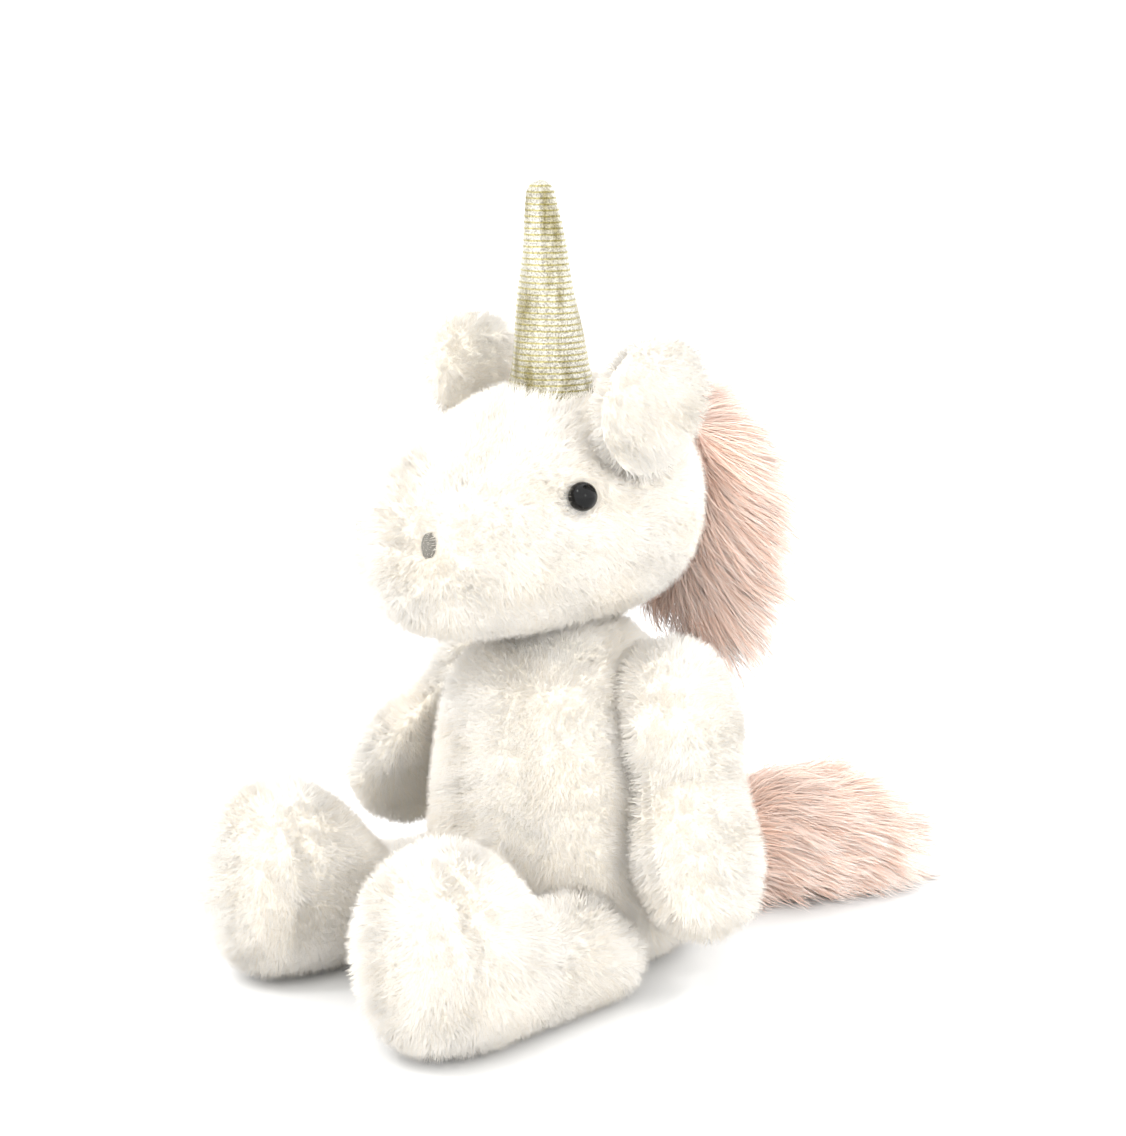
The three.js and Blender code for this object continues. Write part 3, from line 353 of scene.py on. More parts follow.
# ---- mesh helpers --------------------------------------------------------------------------
def coordinates(obj):
    values = np.empty(3 * len(obj.data.vertices), np.float32)
    obj.data.vertices.foreach_get("co", values)
    return values.reshape(-1, 3).astype(float)


def vertex_normals(obj):
    values = np.empty(3 * len(obj.data.vertices), np.float32)
    obj.data.vertex_normals.foreach_get("vector", values)
    return values.reshape(-1, 3).astype(float)


def move_to(obj, points):
    obj.data.vertices.foreach_set("co", points.astype(np.float32).ravel())
    obj.data.update()


def unit(vectors):
    return vectors / np.maximum(np.linalg.norm(vectors, axis=-1, keepdims=True), 1e-12)


def along_surface(vectors, normals):
    """The part of each vector that lies in the surface."""
    return vectors - (vectors * normals).sum(-1, keepdims=True) * normals


def near(points, centre, radius, fade=0.0):
    """1 inside a ball, falling to 0 over the fade outside it."""
    gap = np.linalg.norm(points - centre, axis=1) - radius
    return np.clip(1 - gap / fade, 0, 1) if fade else (gap < 0).astype(float)


def bell(points, centre, reach):
    """1 at the centre, falling smoothly to 0 round it, as a column."""
    return np.exp(-(np.linalg.norm(points - centre, axis=1, keepdims=True) / reach) ** 2)


def new_object(name, mesh):
    obj = bpy.data.objects.new(name, mesh)
    scene.collection.objects.link(obj)
    return obj


def from_bmesh(name, bm):
    mesh = bpy.data.meshes.new(name)
    bm.to_mesh(mesh)
    bm.free()
    return new_object(name, mesh)


def smooth_object(name, bm):
    """An object with its normals facing out and shaded smooth."""
    bmesh.ops.recalc_face_normals(bm, faces=bm.faces)
    for face in bm.faces:
        face.smooth = True
    return from_bmesh(name, bm)


def apply_modifiers(obj):
    graph = bpy.context.evaluated_depsgraph_get()
    mesh = bpy.data.meshes.new_from_object(obj.evaluated_get(graph))
    obj.modifiers.clear()
    obj.data = mesh


def keep_largest_island(obj):
    bm = bmesh.new()
    bm.from_mesh(obj.data)
    unseen = set(bm.verts)
    islands = []
    while unseen:
        stack = [unseen.pop()]
        island = list(stack)
        while stack:
            for edge in stack.pop().link_edges:
                for vert in edge.verts:
                    if vert in unseen:
                        unseen.remove(vert)
                        stack.append(vert)
                        island.append(vert)
        islands.append(island)
    largest = max(islands, key=len)
    spare = [vert for island in islands if island is not largest for vert in island]
    bmesh.ops.delete(bm, geom=spare, context="VERTS")
    bm.to_mesh(obj.data)
    bm.free()


def finish_piece(piece, body, material, slot, *nodes):
    """Gives a piece its one material, puts it on its body and hides the CAD nodes that it replaces.
    """
    piece.data.materials.clear()
    piece.data.materials.append(material)
    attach(piece, body)
    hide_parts(*nodes)


def finish_padded(piece, body, material, slot, fill, *nodes):
    finish_piece(piece, body, material, slot, *nodes)


# ---- places on the frame -------------------------------------------------------------------
def joint_place(name):
    return np.array(JOINTS[name]["pos_m"])


def node_box(name):
    low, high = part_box(name)
    return np.array(low), np.array(high)


def node_centre(name):
    low, high = node_box(name)
    return (low + high) / 2


NECK = joint_place("neck_turn")
SHOULDERS = {side: joint_place(f"{side}_arm_swing") for side in SIDES}
HIPS = {side: joint_place(f"{side}_leg_lift") for side in SIDES}
EYES = {side: node_centre(f"{side}_eye") for side in SIDES}
NOSTRILS = {side: node_centre(f"{side}_nostril_embroidery") for side in SIDES}
HORN_LOW, HORN_HIGH = node_box("horn_cover")
HORN_FOOT = np.array([0.0, HORN_Y, HORN_LOW[2] - HORN_SINK])


# ---- sewn fabric shells --------------------------------------------------------------------
def outer_surface(surface, points, normals):
    """Where a line from outside, straight in to each point, first meets the CAD surface."""
    found = points.copy()
    for number, (point, normal) in enumerate(zip(points, normals)):
        start = Vector(point + OUTSIDE * normal)
        hit = surface.ray_cast(start, Vector(-normal), 2 * OUTSIDE)[0]
        if hit is not None:
            found[number] = hit
    return found


def inflate(obj, cap):
    """Fills the shell with stuffing: a short cloth run under pressure, with no point moving
    further than cap."""
    start = coordinates(obj)
    cloth = obj.modifiers.new("stuffing", "CLOTH")
    cloth.settings.quality = 4
    cloth.settings.mass = 0.3
    cloth.settings.use_pressure = True
    cloth.settings.uniform_pressure_force = STUFFING_PRESSURE
    cloth.settings.effector_weights.gravity = 0.0
    cloth.collision_settings.use_collision = False
    for number in range(STUFFING_FRAMES):
        scene.frame_set(number + 1)
    graph = bpy.context.evaluated_depsgraph_get()
    filled = np.array([v.co for v in obj.evaluated_get(graph).data.vertices])
    obj.modifiers.remove(cloth)
    scene.frame_set(1)
    step = filled - start
    length = np.linalg.norm(step, axis=1, keepdims=True)
    move_to(obj, start + step * np.minimum(1.0, cap / np.maximum(length, 1e-9)))


def cad_bmesh(node_names, convex):
    """Several CAD nodes as one bmesh, or the convex hull round them all."""
    bm = bmesh.new()
    for node in node_names:
        bm.from_mesh(NODES[node].data)
    bmesh.ops.remove_doubles(bm, verts=bm.verts, dist=1e-6)
    if convex:
        hull = bmesh.ops.convex_hull(bm, input=bm.verts)
        bmesh.ops.delete(bm, geom=hull["geom_interior"] + hull["geom_unused"], context="VERTS")
        outside = {face for face in hull["geom"] if isinstance(face, bmesh.types.BMFace)}
        inside = [face for face in bm.faces if face not in outside]
        bmesh.ops.delete(bm, geom=inside, context="FACES")
    return bm


def fabric_shell(name, node_names, depth, convex=False, smoothing=SHELL_SMOOTHING, swell=0.0,
                 voxel=SHELL_VOXEL, plump=(), plumpness=NECK_PLUMPNESS):
    """One closed sewn shell for several CAD nodes, at a depth below their outer surface. Near
    the plump places, where it is sewn to its neighbours, it fills out to plumpness past that
    surface instead."""
    bm = cad_bmesh(node_names, convex)
    surface = BVHTree.FromBMesh(bm)
    obj = from_bmesh(name, bm)
    remesh = obj.modifiers.new("remesh", "REMESH")
    remesh.mode = "VOXEL"
    remesh.voxel_size = voxel
    smooth = obj.modifiers.new("smooth", "SMOOTH")
    smooth.iterations = smoothing
    apply_modifiers(obj)
    keep_largest_island(obj)
    normals = vertex_normals(obj)
    points = outer_surface(surface, coordinates(obj), normals)
    inset = np.full(len(points), depth + swell / 2)
    for centre in plump:
        inset -= (depth + plumpness) * near(points, centre, PLUMP_RADIUS, PLUMP_FADE)
    move_to(obj, points - normals * inset[:, None])
    even = obj.modifiers.new("even", "SMOOTH")
    even.iterations = EVEN_SMOOTHING
    apply_modifiers(obj)
    if swell:
        inflate(obj, swell)
    subdivision = obj.modifiers.new("subdivision", "SUBSURF")
    subdivision.levels = 1
    apply_modifiers(obj)
    points = coordinates(obj)
    points[:, 2] = np.maximum(points[:, 2], 2 * FLOOR_CLEARANCE)
    move_to(obj, points)
    return obj


def distances_to(node, points):
    bm = bmesh.new()
    bm.from_mesh(NODES[node].data)
    tree = BVHTree.FromBMesh(bm)
    bm.free()
    return np.array([tree.find_nearest(Vector(p))[3] for p in points])


def sew_panels(obj, panels):
    """Which panel each point of the shell belongs to. The fabric dips at the seams between
    panels."""
    points = coordinates(obj)
    reach = np.stack([distances_to(panel, points) for panel in panels], axis=1)
    ordered = np.sort(reach, axis=1)
    nearness = np.clip(1 - (ordered[:, 1] - ordered[:, 0]) / SEAM_REACH, 0, 1)
    move_to(obj, points - vertex_normals(obj) * (SEAM_DIP * nearness ** 2)[:, None])
    return reach.argmin(axis=1)


# ---- strands -------------------------------------------------------------------------------
def strand_mesh(name, lines, normals, radii, slots, tip_slot, materials):
    """Tapered spikes along centre lines, an array of strands x points x 3. They are shaded
    mostly by the normal of the fabric that they stand on, as soft pile looks."""
    count, points = lines.shape[:2]
    sides, rings = SPIKE_SIDES, points - 1
    heading = unit(lines[:, -1] - lines[:, 0])
    side = unit(np.cross(heading, rng.normal(size=heading.shape)))
    other = np.cross(heading, side)
    turns = (2 * math.pi * np.arange(sides) / sides)[None, :, None]
    spokes = side[:, None] * np.cos(turns) + other[:, None] * np.sin(turns)
    verts = np.empty((count, sides * rings + 1, 3))
    for ring in range(rings):
        width = radii[:, None, None] * (1 - SPIKE_TAPER * ring / rings)
        verts[:, sides * ring:sides * (ring + 1)] = lines[:, ring, None] + spokes * width
    verts[:, -1] = lines[:, -1]
    verts[..., 2] = np.maximum(verts[..., 2], FLOOR_CLEARANCE)

    edges = [(j, (j + 1) % sides) for j in range(sides)]
    quads = [[sides * k + a, sides * k + b, sides * (k + 1) + b, sides * (k + 1) + a]
             for k in range(rings - 1) for a, b in edges]
    last = sides * (rings - 1)
    tips = [[last + a, last + b, last + sides] for a, b in edges]
    pattern = np.array([corner for face in quads + tips for corner in face])
    sizes = np.array([len(face) for face in quads + tips])
    starts = np.concatenate([[0], np.cumsum(sizes)[:-1]])
    strand = np.arange(count)[:, None]
    corners = pattern[None] + strand * verts.shape[1]
    first_corners = starts[None] + strand * len(pattern)
    finish = np.repeat(slots[:, None], len(sizes), axis=1)
    if tip_slot is not None:
        finish[:, -len(tips):] = tip_slot

    mesh = bpy.data.meshes.new(name)
    mesh.vertices.add(count * verts.shape[1])
    mesh.vertices.foreach_set("co", verts.astype(np.float32).ravel())
    mesh.loops.add(count * len(pattern))
    mesh.loops.foreach_set("vertex_index", corners.astype(np.int32).ravel())
    mesh.polygons.add(count * len(sizes))
    mesh.polygons.foreach_set("loop_start", first_corners.astype(np.int32).ravel())
    mesh.polygons.foreach_set("material_index", finish.astype(np.int32).ravel())
    for material in materials:
        mesh.materials.append(material)
    mesh.update(calc_edges=True)

    soft = np.repeat(normals[:, None], verts.shape[1], axis=1)
    round_spike = np.concatenate([np.tile(spokes, (1, rings, 1)), heading[:, None]], axis=1)
    shading = unit(SOFT_SHADING * soft + (1 - SOFT_SHADING) * round_spike)
    custom = mesh.attributes.new("custom_normal", "FLOAT_VECTOR", "POINT")
    custom.data.foreach_set("vector", shading.astype(np.float32).ravel())
    return new_object(name, mesh)


def scattered(obj, density):
    """Points spread evenly over a mesh: their places, their normals, and for each the number
    of one mesh point beside it."""
    mesh = obj.data
    mesh.calc_loop_triangles()
    corners = np.empty(3 * len(mesh.loop_triangles), np.int32)
    mesh.loop_triangles.foreach_get("vertices", corners)
    corners = corners.reshape(-1, 3)
    points, normals = coordinates(obj), vertex_normals(obj)
    a, b, c = (points[corners[:, k]] for k in range(3))
    area = np.linalg.norm(np.cross(b - a, c - a), axis=1) / 2
    chosen = rng.choice(len(area), size=int(area.sum() * density), p=area / area.sum())
    u, v = rng.random((2, len(chosen)))
    fold = u + v > 1
    u[fold], v[fold] = 1 - u[fold], 1 - v[fold]
    weights = np.stack([1 - u - v, u, v], axis=1)[..., None]

    def mixed(values):
        return (values[corners[chosen]] * weights).sum(axis=1)

    return mixed(points), unit(mixed(normals)), corners[chosen, 0]


def tousle(points, wavelength, seed):
    """A smooth random vector field, one vector for each point."""
    waves = np.random.default_rng(seed)
    total = np.zeros_like(points)
    for _ in range(TOUSLE_WAVES):
        way = unit(waves.normal(size=3)) * 2 * math.pi / wavelength * waves.uniform(0.7, 1.4)
        swing = waves.normal(size=3)
        total += swing * np.sin(points @ way + waves.uniform(0, 2 * math.pi))[:, None]
    return total / math.sqrt(TOUSLE_WAVES)


def gathered(points, spacing):
    """For each point, the way to the middle of the tuft that it belongs to."""
    count = max(1, int(len(points) / max(1.0, PILE_DENSITY * spacing ** 2)))
    middles = points[rng.choice(len(points), size=count, replace=False)]
    tree = KDTree(count)
    for number, middle in enumerate(middles):
        tree.insert(middle, number)
    tree.balance()
    return np.array([tree.find(p)[0] for p in points]) - points


def tone_slots(places, patch, seed, steps):
    """A material slot for each strand: patches of one tone, broken up by chance."""
    tone = tousle(places, patch, seed)[:, 0] * 0.5 + rng.normal(size=len(places)) * 0.8
    return np.digitize(tone, steps)


def short_pile(body, shell, panels, owner, lay, bare=None, length=PILE_LENGTH, trim=None):
    """The plush on one body: one piece, or several, of pile for each CAD panel."""
    places, normals, corner = scattered(shell, PILE_DENSITY)
    if bare is not None:
        keep = rng.random(len(places)) > bare(places)
        places, normals, corner = places[keep], normals[keep], corner[keep]
    way = along_surface(lay(places), normals)
    swirl = along_surface(tousle(places, 21 * MM, 3) + 0.6 * tousle(places, 8 * MM, 4), normals)
    pull = along_surface(gathered(places, TUFT_SPACING), normals)
    stray = rng.normal(size=places.shape) * PILE_STRAY
    reach = length * (SHORTEST_PILE + PILE_VARIETY * rng.random(len(places)))[:, None]
    if trim is not None:
        reach *= trim(places)[:, None]
    heading = unit(normals + PILE_LEAN * way + PILE_SWIRL * swirl + stray)
    tip = places + reach * heading + TUFT_PULL * pull
    lines = np.stack([places - PILE_ROOT * normals, tip], axis=1)
    radii = PILE_RADIUS * (0.75 + 0.5 * rng.random(len(places)))
    slots = tone_slots(places, 30 * MM, 5, [-0.35, 0.55, 1.5])
    for number, panel in enumerate(panels):
        mine = np.flatnonzero(owner[corner] == number)
        parts = max(1, math.ceil(len(mine) / MOST_STRANDS))
        for part in range(parts):
            some = mine[part::parts]
            name = panel.replace("_panel", "") + "_pile" + (f"_{part + 1}" if parts > 1 else "")
            piece = strand_mesh(name, lines[some], normals[some], radii[some], slots[some], None,
                                WHITE_PILE)
            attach(piece, body)
            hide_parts(panel)


def constant_lay(*way):
    return lambda points: np.broadcast_to(unit(np.array(way, float)), points.shape)


def bare_inside(*balls):
    """Where no pile grows: inside any of the balls, each a centre and a radius."""
    return lambda points: np.maximum.reduce([near(points, *ball) for ball in balls])


# ---- torso ---------------------------------------------------------------------------------
def build_torso():
    panels = ["torso_seat_panel", "torso_belly_panel", "torso_back_panel_left",
              "torso_back_panel_right"]
    shell = fabric_shell("torso_fabric_shell", panels, PILE_DEPTH, convex=True,
                         swell=BODY_SWELL, plump=[NECK])
    owner = sew_panels(shell, panels)
    sewn = bare_inside((NECK, NECK_BARE), *((SHOULDERS[side], SHOULDER_BARE) for side in SIDES),
                       *((HIPS[side], HIP_BARE) for side in SIDES))
    short_pile("torso", shell, panels, owner, constant_lay(0, -0.15, -1), bare=sewn)
    finish_padded(shell, "torso", PLUSH_BACKING, "white_plush", 0.7, "torso_stuffing")


# ---- head ----------------------------------------------------------------------------------
def face_features(points):
    """How far each point is from the nearest eye or nostril, and the way away from it."""
    centres = [EYES[side] for side in SIDES] + [NOSTRILS[side] for side in SIDES]
    radii = [EYE_BARE, EYE_BARE, NOSTRIL_BARE, NOSTRIL_BARE]
    gaps = np.stack([np.linalg.norm(points - centre, axis=1) - radius
                     for centre, radius in zip(centres, radii)], axis=1)
    nearest = gaps.argmin(axis=1)
    away = unit(points - np.array(centres)[nearest])
    return gaps.min(axis=1), away


def build_head():
    panels = ["head_gusset_panel", "head_side_panel_left", "head_side_panel_right"]
    shell = fabric_shell("head_fabric_shell", panels + ["head_stuffing"], PILE_DEPTH,
                         swell=BODY_SWELL, plump=[NECK])
    owner = sew_panels(shell, panels)
    points, normals = coordinates(shell), vertex_normals(shell)
    for side in SIDES:
        points -= normals * (EYE_DIMPLE * bell(points, EYES[side], DIMPLE_REACH))
        bridge = BRIDGE * (OUTWARD[side], 1.0, 1.0)
        points += normals * (BRIDGE_FILL * bell(points, bridge, BRIDGE_REACH))
    points += normals * (CROWN_FILL * bell(points, HORN_FOOT, CROWN_REACH))
    move_to(shell, points)
    down_and_back = unit(np.array([0.0, 0.75, -0.6]))
    covered = bare_inside((NECK, NECK_BARE), (HORN_FOOT, HORN_BARE))

    def lay(places):
        gap, away = face_features(places)
        parting = np.clip(1 - gap / FEATURE_PARTING, 0, 1)[:, None]
        return down_and_back * (1 - 0.8 * parting) + 1.2 * away * parting

    def trim(places):
        gap, _ = face_features(places)
        return SHORTEST_TRIM + (1 - SHORTEST_TRIM) * np.clip(gap / FEATURE_TRIM, 0, 1)

    def bare(places):
        gap, _ = face_features(places)
        return np.maximum(covered(places), gap < 0)

    short_pile("head", shell, panels, owner, lay, bare=bare, trim=trim)
    finish_padded(shell, "head", PLUSH_BACKING, "white_plush", 0.85, "head_stuffing")


# ---- ears ----------------------------------------------------------------------------------
def build_ear(side):
    panels = [f"{side}_ear_outer_panel", f"{side}_ear_inner_panel"]
    shell = fabric_shell(f"{side}_ear_fabric_shell", panels, EAR_DEPTH, smoothing=EAR_SMOOTHING,
                         voxel=EAR_VOXEL)
    owner = sew_panels(shell, panels)
    points = coordinates(shell)
    centre = points.mean(axis=0)
    _, axes = np.linalg.eigh(np.cov((points - centre).T))
    breadth = axes[:, 1]
    spread = (points - centre) @ breadth
    move_to(shell, points + (EAR_BREADTH - 1) * spread[:, None] * breadth)
    lay = constant_lay(0.75 * OUTWARD[side], -0.1, -0.65)
    short_pile(f"{side}_ear", shell, panels, owner, lay, length=EAR_PILE_LENGTH)
    finish_piece(shell, f"{side}_ear", PLUSH_BACKING, "white_plush", *panels)


# ---- limbs ---------------------------------------------------------------------------------
def build_arm(side):
    panels = [f"{side}_arm_outer_panel", f"{side}_arm_inner_panel"]
    shell = fabric_shell(f"{side}_arm_fabric_shell", panels + [f"{side}_arm_stuffing"],
                         PILE_DEPTH, swell=LIMB_SWELL, plump=[SHOULDERS[side]],
                         plumpness=ARM_PLUMPNESS)
    owner = sew_panels(shell, panels)
    sewn = bare_inside((SHOULDERS[side], ARM_BARE))
    short_pile(f"{side}_arm", shell, panels, owner, constant_lay(0, -0.15, -1), bare=sewn)
    finish_padded(shell, f"{side}_arm", PLUSH_BACKING, "white_plush", 0.6,
                  f"{side}_arm_stuffing")


def build_leg(side):
    panels = [f"{side}_leg_outer_panel", f"{side}_leg_inner_panel", f"{side}_foot_sole_panel"]
    shell = fabric_shell(f"{side}_leg_fabric_shell", panels + [f"{side}_leg_stuffing"],
                         PILE_DEPTH, swell=LIMB_SWELL)
    owner = sew_panels(shell, panels)
    sewn = bare_inside((HIPS[side], LEG_BARE))
    short_pile(f"{side}_leg", shell, panels, owner, constant_lay(0, -0.35, -1), bare=sewn)
    finish_padded(shell, f"{side}_leg", PLUSH_BACKING, "white_plush", 0.7,
                  f"{side}_leg_stuffing")


# ---- mane and tail -------------------------------------------------------------------------
def long_pile(name, body, nodes, flow, reach, lift, bare=None):
    """Long silky pile on a backing core: each strand rises, then falls along the flow."""
    core = fabric_shell(f"{name}_backing_core", nodes, BACKING_DEPTH,
                        smoothing=BACKING_SMOOTHING)
    places, normals, _ = scattered(core, LONG_DENSITY)
    if bare is not None:
        keep = ~bare(places)
        places, normals = places[keep], normals[keep]
    most = min(LONG_STRANDS * LONG_PIECES, len(places))
    some = rng.choice(len(places), size=most, replace=False)
    places, normals = places[some], normals[some]
    way = unit(flow(places))
    swirl = tousle(places, 26 * MM, 11) + 0.5 * tousle(places, 9 * MM, 12)
    lock = gathered(places, LOCK_SPACING)
    length = reach * (SHORTEST_LONG + LONG_VARIETY * rng.random(len(places)))[:, None]
    stray = rng.normal(size=places.shape) * LONG_STRAY
    point = places - LONG_ROOT * normals
    line = [point]
    for step in range(LONG_SEGMENTS):
        share = (step + 0.5) / LONG_SEGMENTS
        heading = unit(lift * (1 - share) * normals + (0.5 + share) * way
                       + LONG_SWIRL * swirl * share + stray)
        point = point + heading * length / LONG_SEGMENTS + lock * LOCK_PULL / LONG_SEGMENTS
        line.append(point)
    lines = np.stack(line, axis=1)
    shading = unit(normals + LONG_UPLIGHT * UP)
    radii = LONG_RADIUS * (0.7 + 0.6 * rng.random(len(places)))
    slots = tone_slots(places, 24 * MM, 13, [-0.3, 0.9])
    for part in range(LONG_PIECES):
        mine = slice(part, None, LONG_PIECES)
        piece = strand_mesh(f"{name}_pile_{part + 1}", lines[mine], shading[mine], radii[mine],
                            slots[mine], PINK_TIP, PINK_PILE)
        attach(piece, body)
        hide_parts(nodes[0])
    finish_piece(core, body, PINK_BACKING, "pink_faux_fur", *nodes)


def mane_flow(points):
    height = np.clip((points[:, 2] - MANE_FOOT) / MANE_HEIGHT, 0, 1)
    return np.stack([0.5 * points[:, 0] / MANE_HALF_WIDTH, 0.55 + 0.35 * height,
                     0.9 * height - 1.05], axis=1)


def mane_nape(points):
    return (points[:, 1] < NAPE_FRONT) & (points[:, 2] < NAPE_TOP)


def tail_flow(points):
    share = np.clip((points[:, 1] - TAIL_START) / TAIL_LENGTH, 0, 1)
    aside = (points[:, 0] - TAIL_SWEEP * share) / TAIL_SPREAD
    level = np.ones(len(points))
    return np.stack([0.15 + 0.5 * share + aside, level, -0.35 * level], axis=1)


# ---- horn ----------------------------------------------------------------------------------
def horn_radii(heights, along, angles):
    """The radius of the knitted sleeve at each height and angle: a cone with a rounded tip and
    a flared foot, with knitted ridges, soft crumples and one seam."""
    straight = HORN_BASE_RADIUS + (HORN_TIP_RADIUS - HORN_BASE_RADIUS) * heights
    tip = np.clip((heights - (1 - HORN_ROUNDING)) / HORN_ROUNDING, 0, 1)
    rounding = np.sqrt(np.clip(1 - tip ** 2.2, 0, 1))[:, None]
    flare = HORN_FLARE * np.exp(-heights / HORN_FLARE_SHARE)
    up, round_it = np.meshgrid(along, angles, indexing="ij")
    wobble = 0.3 * MM * np.sin(3 * round_it)
    ridge = HORN_RIDGE * np.sin(2 * math.pi * (up + wobble) / HORN_COURSE)
    crumple = HORN_CRUMPLE * np.sin(up / (9 * MM) + 2.0 * np.sin(round_it)) \
        * np.sin(2 * round_it + up / (14 * MM))
    seam_gap = np.abs((round_it - HORN_SEAM_ANGLE + math.pi) % (2 * math.pi) - math.pi)
    seam = -HORN_SEAM_DEPTH * np.exp(-(seam_gap * straight[:, None] / HORN_SEAM_WIDTH) ** 2)
    fade = np.clip(rounding * 1.4 - 0.4, 0, 1)
    return (straight + flare)[:, None] * rounding + (ridge + crumple + seam) * fade


def build_horn():
    rows, around = HORN_ROWS, HORN_AROUND
    axis = np.array([0.0, -math.sin(HORN_LEAN), math.cos(HORN_LEAN)])
    front = np.array([0.0, -math.cos(HORN_LEAN), -math.sin(HORN_LEAN)])
    side = np.array([1.0, 0.0, 0.0])
    length = (HORN_HIGH[2] - HORN_FOOT[2]) / math.cos(HORN_LEAN) - HORN_TIP_GAP
    heights = np.linspace(0, 1, rows) ** 0.97
    along = heights * length
    angles = 2 * math.pi * np.arange(around) / around
    radii = horn_radii(heights, along, angles)
    spokes = front * np.cos(angles)[:, None] + side * np.sin(angles)[:, None]
    points = HORN_FOOT + along[:, None, None] * axis + radii[..., None] * spokes
    bm = bmesh.new()
    corners = [bm.verts.new(point) for point in points[:-1].reshape(-1, 3)]
    top = bm.verts.new(HORN_FOOT + axis * along[-1])
    bottom = bm.verts.new(HORN_FOOT)
    last = (rows - 2) * around
    for j in range(around):
        k = (j + 1) % around
        for row in range(0, last, around):
            above = row + around
            bm.faces.new([corners[n] for n in (row + j, row + k, above + k, above + j)])
        bm.faces.new((corners[last + j], corners[last + k], top))
        bm.faces.new((corners[k], corners[j], bottom))
    sleeve = smooth_object("horn_knit_sleeve", bm)
    finish_padded(sleeve, "horn", METALLIC_KNIT, "gold_knit", 0.9, "horn_cover",
                  "horn_stuffing")


# ---- eyes and nostrils ---------------------------------------------------------------------
def turned_basis(axis):
    """Two unit vectors across an axis: the level one, then the one nearest to up."""
    level = unit(np.cross(UP, axis))
    return level, np.cross(axis, level)


def stretched_ball(centre, axis, half_sizes, segments, radius=1.0):
    """A ball with half sizes across, up and along an axis, as a bmesh."""
    level, rise = turned_basis(axis)
    wide, tall, deep = half_sizes
    bm = bmesh.new()
    bmesh.ops.create_uvsphere(bm, u_segments=segments[0], v_segments=segments[1], radius=radius)
    for vert in bm.verts:
        x, y, z = vert.co
        vert.co = centre + level * x * wide + rise * y * tall + axis * z * deep
    return bm


def build_eye(side):
    axis = unit(node_centre(f"{side}_eye") - node_centre(f"{side}_eye_washer"))
    apex = (coordinates(NODES[f"{side}_eye"]) @ axis).max()
    centre = EYES[side] + axis * (apex - EYES[side] @ axis - EYE_DEPTH)
    bm = stretched_ball(centre, axis, (EYE_RADIUS, EYE_RADIUS, EYE_DEPTH), (64, 40))
    eye = smooth_object(f"{side}_eye_dome", bm)
    finish_piece(eye, "head", EYE_GLOSS, "gloss_black", f"{side}_eye")


def tube_along(bm, path, radius, sides=8):
    """A closed round tube along a list of points."""
    rings = []
    for number, point in enumerate(path):
        before, after = path[max(number - 1, 0)], path[min(number + 1, len(path) - 1)]
        level, rise = turned_basis(unit(after - before))
        ring = []
        for k in range(sides):
            angle = 2 * math.pi * k / sides
            spoke = level * math.cos(angle) + rise * math.sin(angle)
            ring.append(bm.verts.new(point + radius * spoke))
        rings.append(ring)
    for one, two in zip(rings, rings[1:]):
        for k in range(sides):
            bm.faces.new((one[k], one[(k + 1) % sides], two[(k + 1) % sides], two[k]))
    bm.faces.new(rings[0][::-1])
    bm.faces.new(rings[-1])


def build_nostril(side):
    """A bean of satin stitches laid side by side over a pad."""
    points = coordinates(NODES[f"{side}_nostril_embroidery"])
    centre = points.mean(axis=0)
    _, axes = np.linalg.eigh(np.cov((points - centre).T))
    axis = axes[:, 0] * (1 if (axes[:, 0] @ (centre - node_centre("head_stuffing"))) > 0 else -1)
    level, rise = turned_basis(axis)
    wide, tall, deep = NOSTRIL_HALF_SIZES
    apex = ((points - centre) @ axis).max()
    middle = centre + axis * (apex - deep - NOSTRIL_SINK)
    bm = stretched_ball(middle, axis, NOSTRIL_HALF_SIZES, (32, 20), radius=NOSTRIL_PAD)
    for number in range(2 * NOSTRIL_STITCHES):
        height = NOSTRIL_FILLED * ((number + 0.5) / NOSTRIL_STITCHES - 1)
        reach = math.sqrt(1 - height ** 2)
        path = []
        for angle in np.linspace(0, math.pi, 9):
            across, out = math.cos(angle), reach * math.sin(angle)
            path.append(middle + level * across * reach * wide
                        + rise * (height + NOSTRIL_SLANT * across) * tall + axis * (out * deep))
        tube_along(bm, path, NOSTRIL_THREAD / 2 * rng.uniform(0.9, 1.15))
    pad = smooth_object(f"{side}_nostril_satin_stitch", bm)
    finish_piece(pad, "head", GREY_THREAD, "grey_thread", f"{side}_nostril_embroidery")


# ---- seam stitches -------------------------------------------------------------------------
def build_whip_stitch(name, body, radius_share):
    """Thread wound over a seam ring, sunk into the pile by its share of the CAD ring's radius."""
    points = coordinates(NODES[name])
    centre = (points.min(axis=0) + points.max(axis=0)) / 2
    _, axes = np.linalg.eigh(np.cov((points - centre).T))
    axis = axes[:, 0]
    level, rise = turned_basis(axis)
    radius = radius_share * np.linalg.norm(points - centre, axis=1).mean()
    turns = round(2 * math.pi * radius / WHIP_PITCH)
    path = []
    for angle in np.linspace(0, 2 * math.pi, WHIP_POINTS * turns + 1):
        spoke = level * math.cos(angle) + rise * math.sin(angle)
        wind = angle * turns
        path.append(centre + spoke * (radius + WHIP_REACH * math.cos(wind))
                    + axis * WHIP_REACH * math.sin(wind))
    bm = bmesh.new()
    tube_along(bm, path, WHIP_THREAD / 2, 6)
    stitch = smooth_object(f"{name}_whip_thread", bm)
    finish_piece(stitch, body, THREAD, "sewing_thread", name)


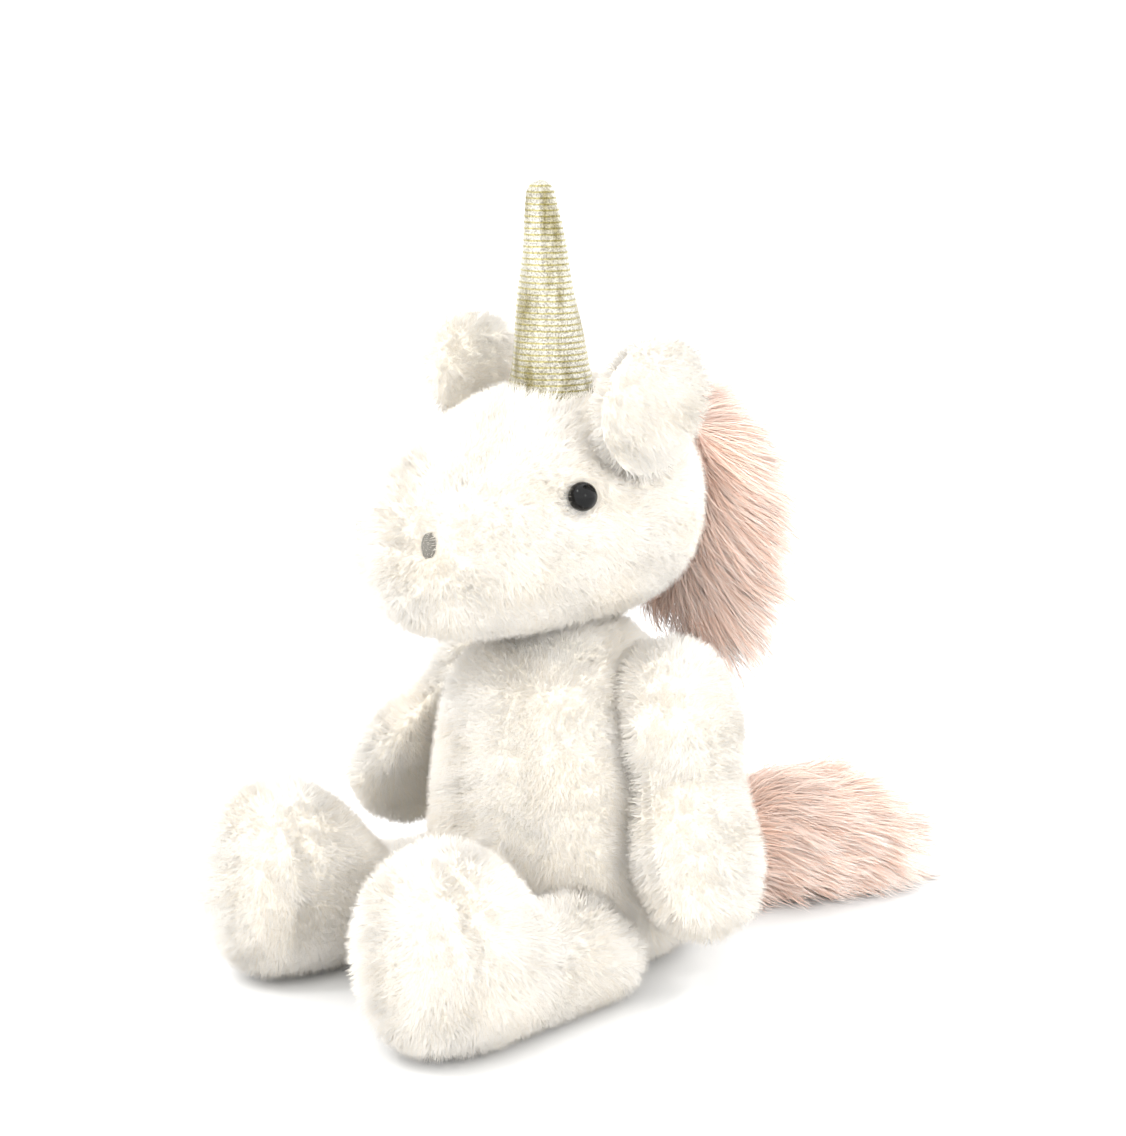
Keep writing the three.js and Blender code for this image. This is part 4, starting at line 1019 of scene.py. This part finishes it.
# ---- what keeps its CAD shape --------------------------------------------------------------
def dress_cad_nodes():
    finishes = {"seat_pellet_pouch": PELLETS, "left_eye_washer": WASHER,
                "right_eye_washer": WASHER}
    for name, material in finishes.items():
        materials = NODES[name].data.materials
        for number in range(len(materials)):
            materials[number] = material


build_torso()
build_head()
for side in SIDES:
    build_ear(side)
    build_arm(side)
    build_leg(side)
    build_eye(side)
    build_nostril(side)
long_pile("mane", "head", ["mane_pile", "mane_backing_tape"], mane_flow, MANE_REACH, MANE_LIFT,
          bare=mane_nape)
long_pile("tail", "tail", ["tail_pile", "tail_core"], tail_flow, TAIL_REACH, TAIL_LIFT)
build_horn()
build_whip_stitch("neck_stitching", "neck_seam", 0.82)
build_whip_stitch("tail_stitching", "tail_seam", 0.75)
for side in SIDES:
    build_whip_stitch(f"{side}_shoulder_stitching", f"{side}_shoulder_seam", 0.78)
    build_whip_stitch(f"{side}_hip_stitching", f"{side}_hip_seam", 0.8)
dress_cad_nodes()


# ---- stage ---------------------------------------------------------------------------------
def build_stage():
    bm = bmesh.new()
    bmesh.ops.create_grid(bm, x_segments=8, y_segments=8, size=4.0)
    floor = from_bmesh("studio_floor", bm)
    floor.data.materials.append(principled("studio_paper", PAPER, 0.9))
    world = bpy.data.worlds.new("studio")
    world.use_nodes = True
    background = world.node_tree.nodes["Background"]
    background.inputs["Color"].default_value = (1, 1, 1, 1)
    background.inputs["Strength"].default_value = SKY_STRENGTH
    scene.world = world
    for name, (place, size, power) in LAMPS.items():
        lamp = bpy.data.lights.new(name, "AREA")
        lamp.shape = "SQUARE"
        lamp.size = size
        lamp.energy = power
        aim(new_object(name, lamp), place, LAMP_TARGET)
    scene.view_settings.view_transform = "Standard"
    scene.view_settings.look = "None"
    scene.view_settings.exposure = EXPOSURE


def aim(obj, place, target):
    obj.location = place
    heading = Vector(target) - Vector(place)
    obj.rotation_euler = heading.to_track_quat("-Z", "Y").to_euler()


def build_camera():
    data = bpy.data.cameras.new("camera")
    data.lens = CAMERA_LENS
    data.sensor_width = CAMERA_SENSOR
    data.sensor_fit = "AUTO"
    camera = new_object("camera", data)
    aim(camera, CAMERA_PLACE, CAMERA_TARGET)
    scene.camera = camera


build_stage()
build_camera()
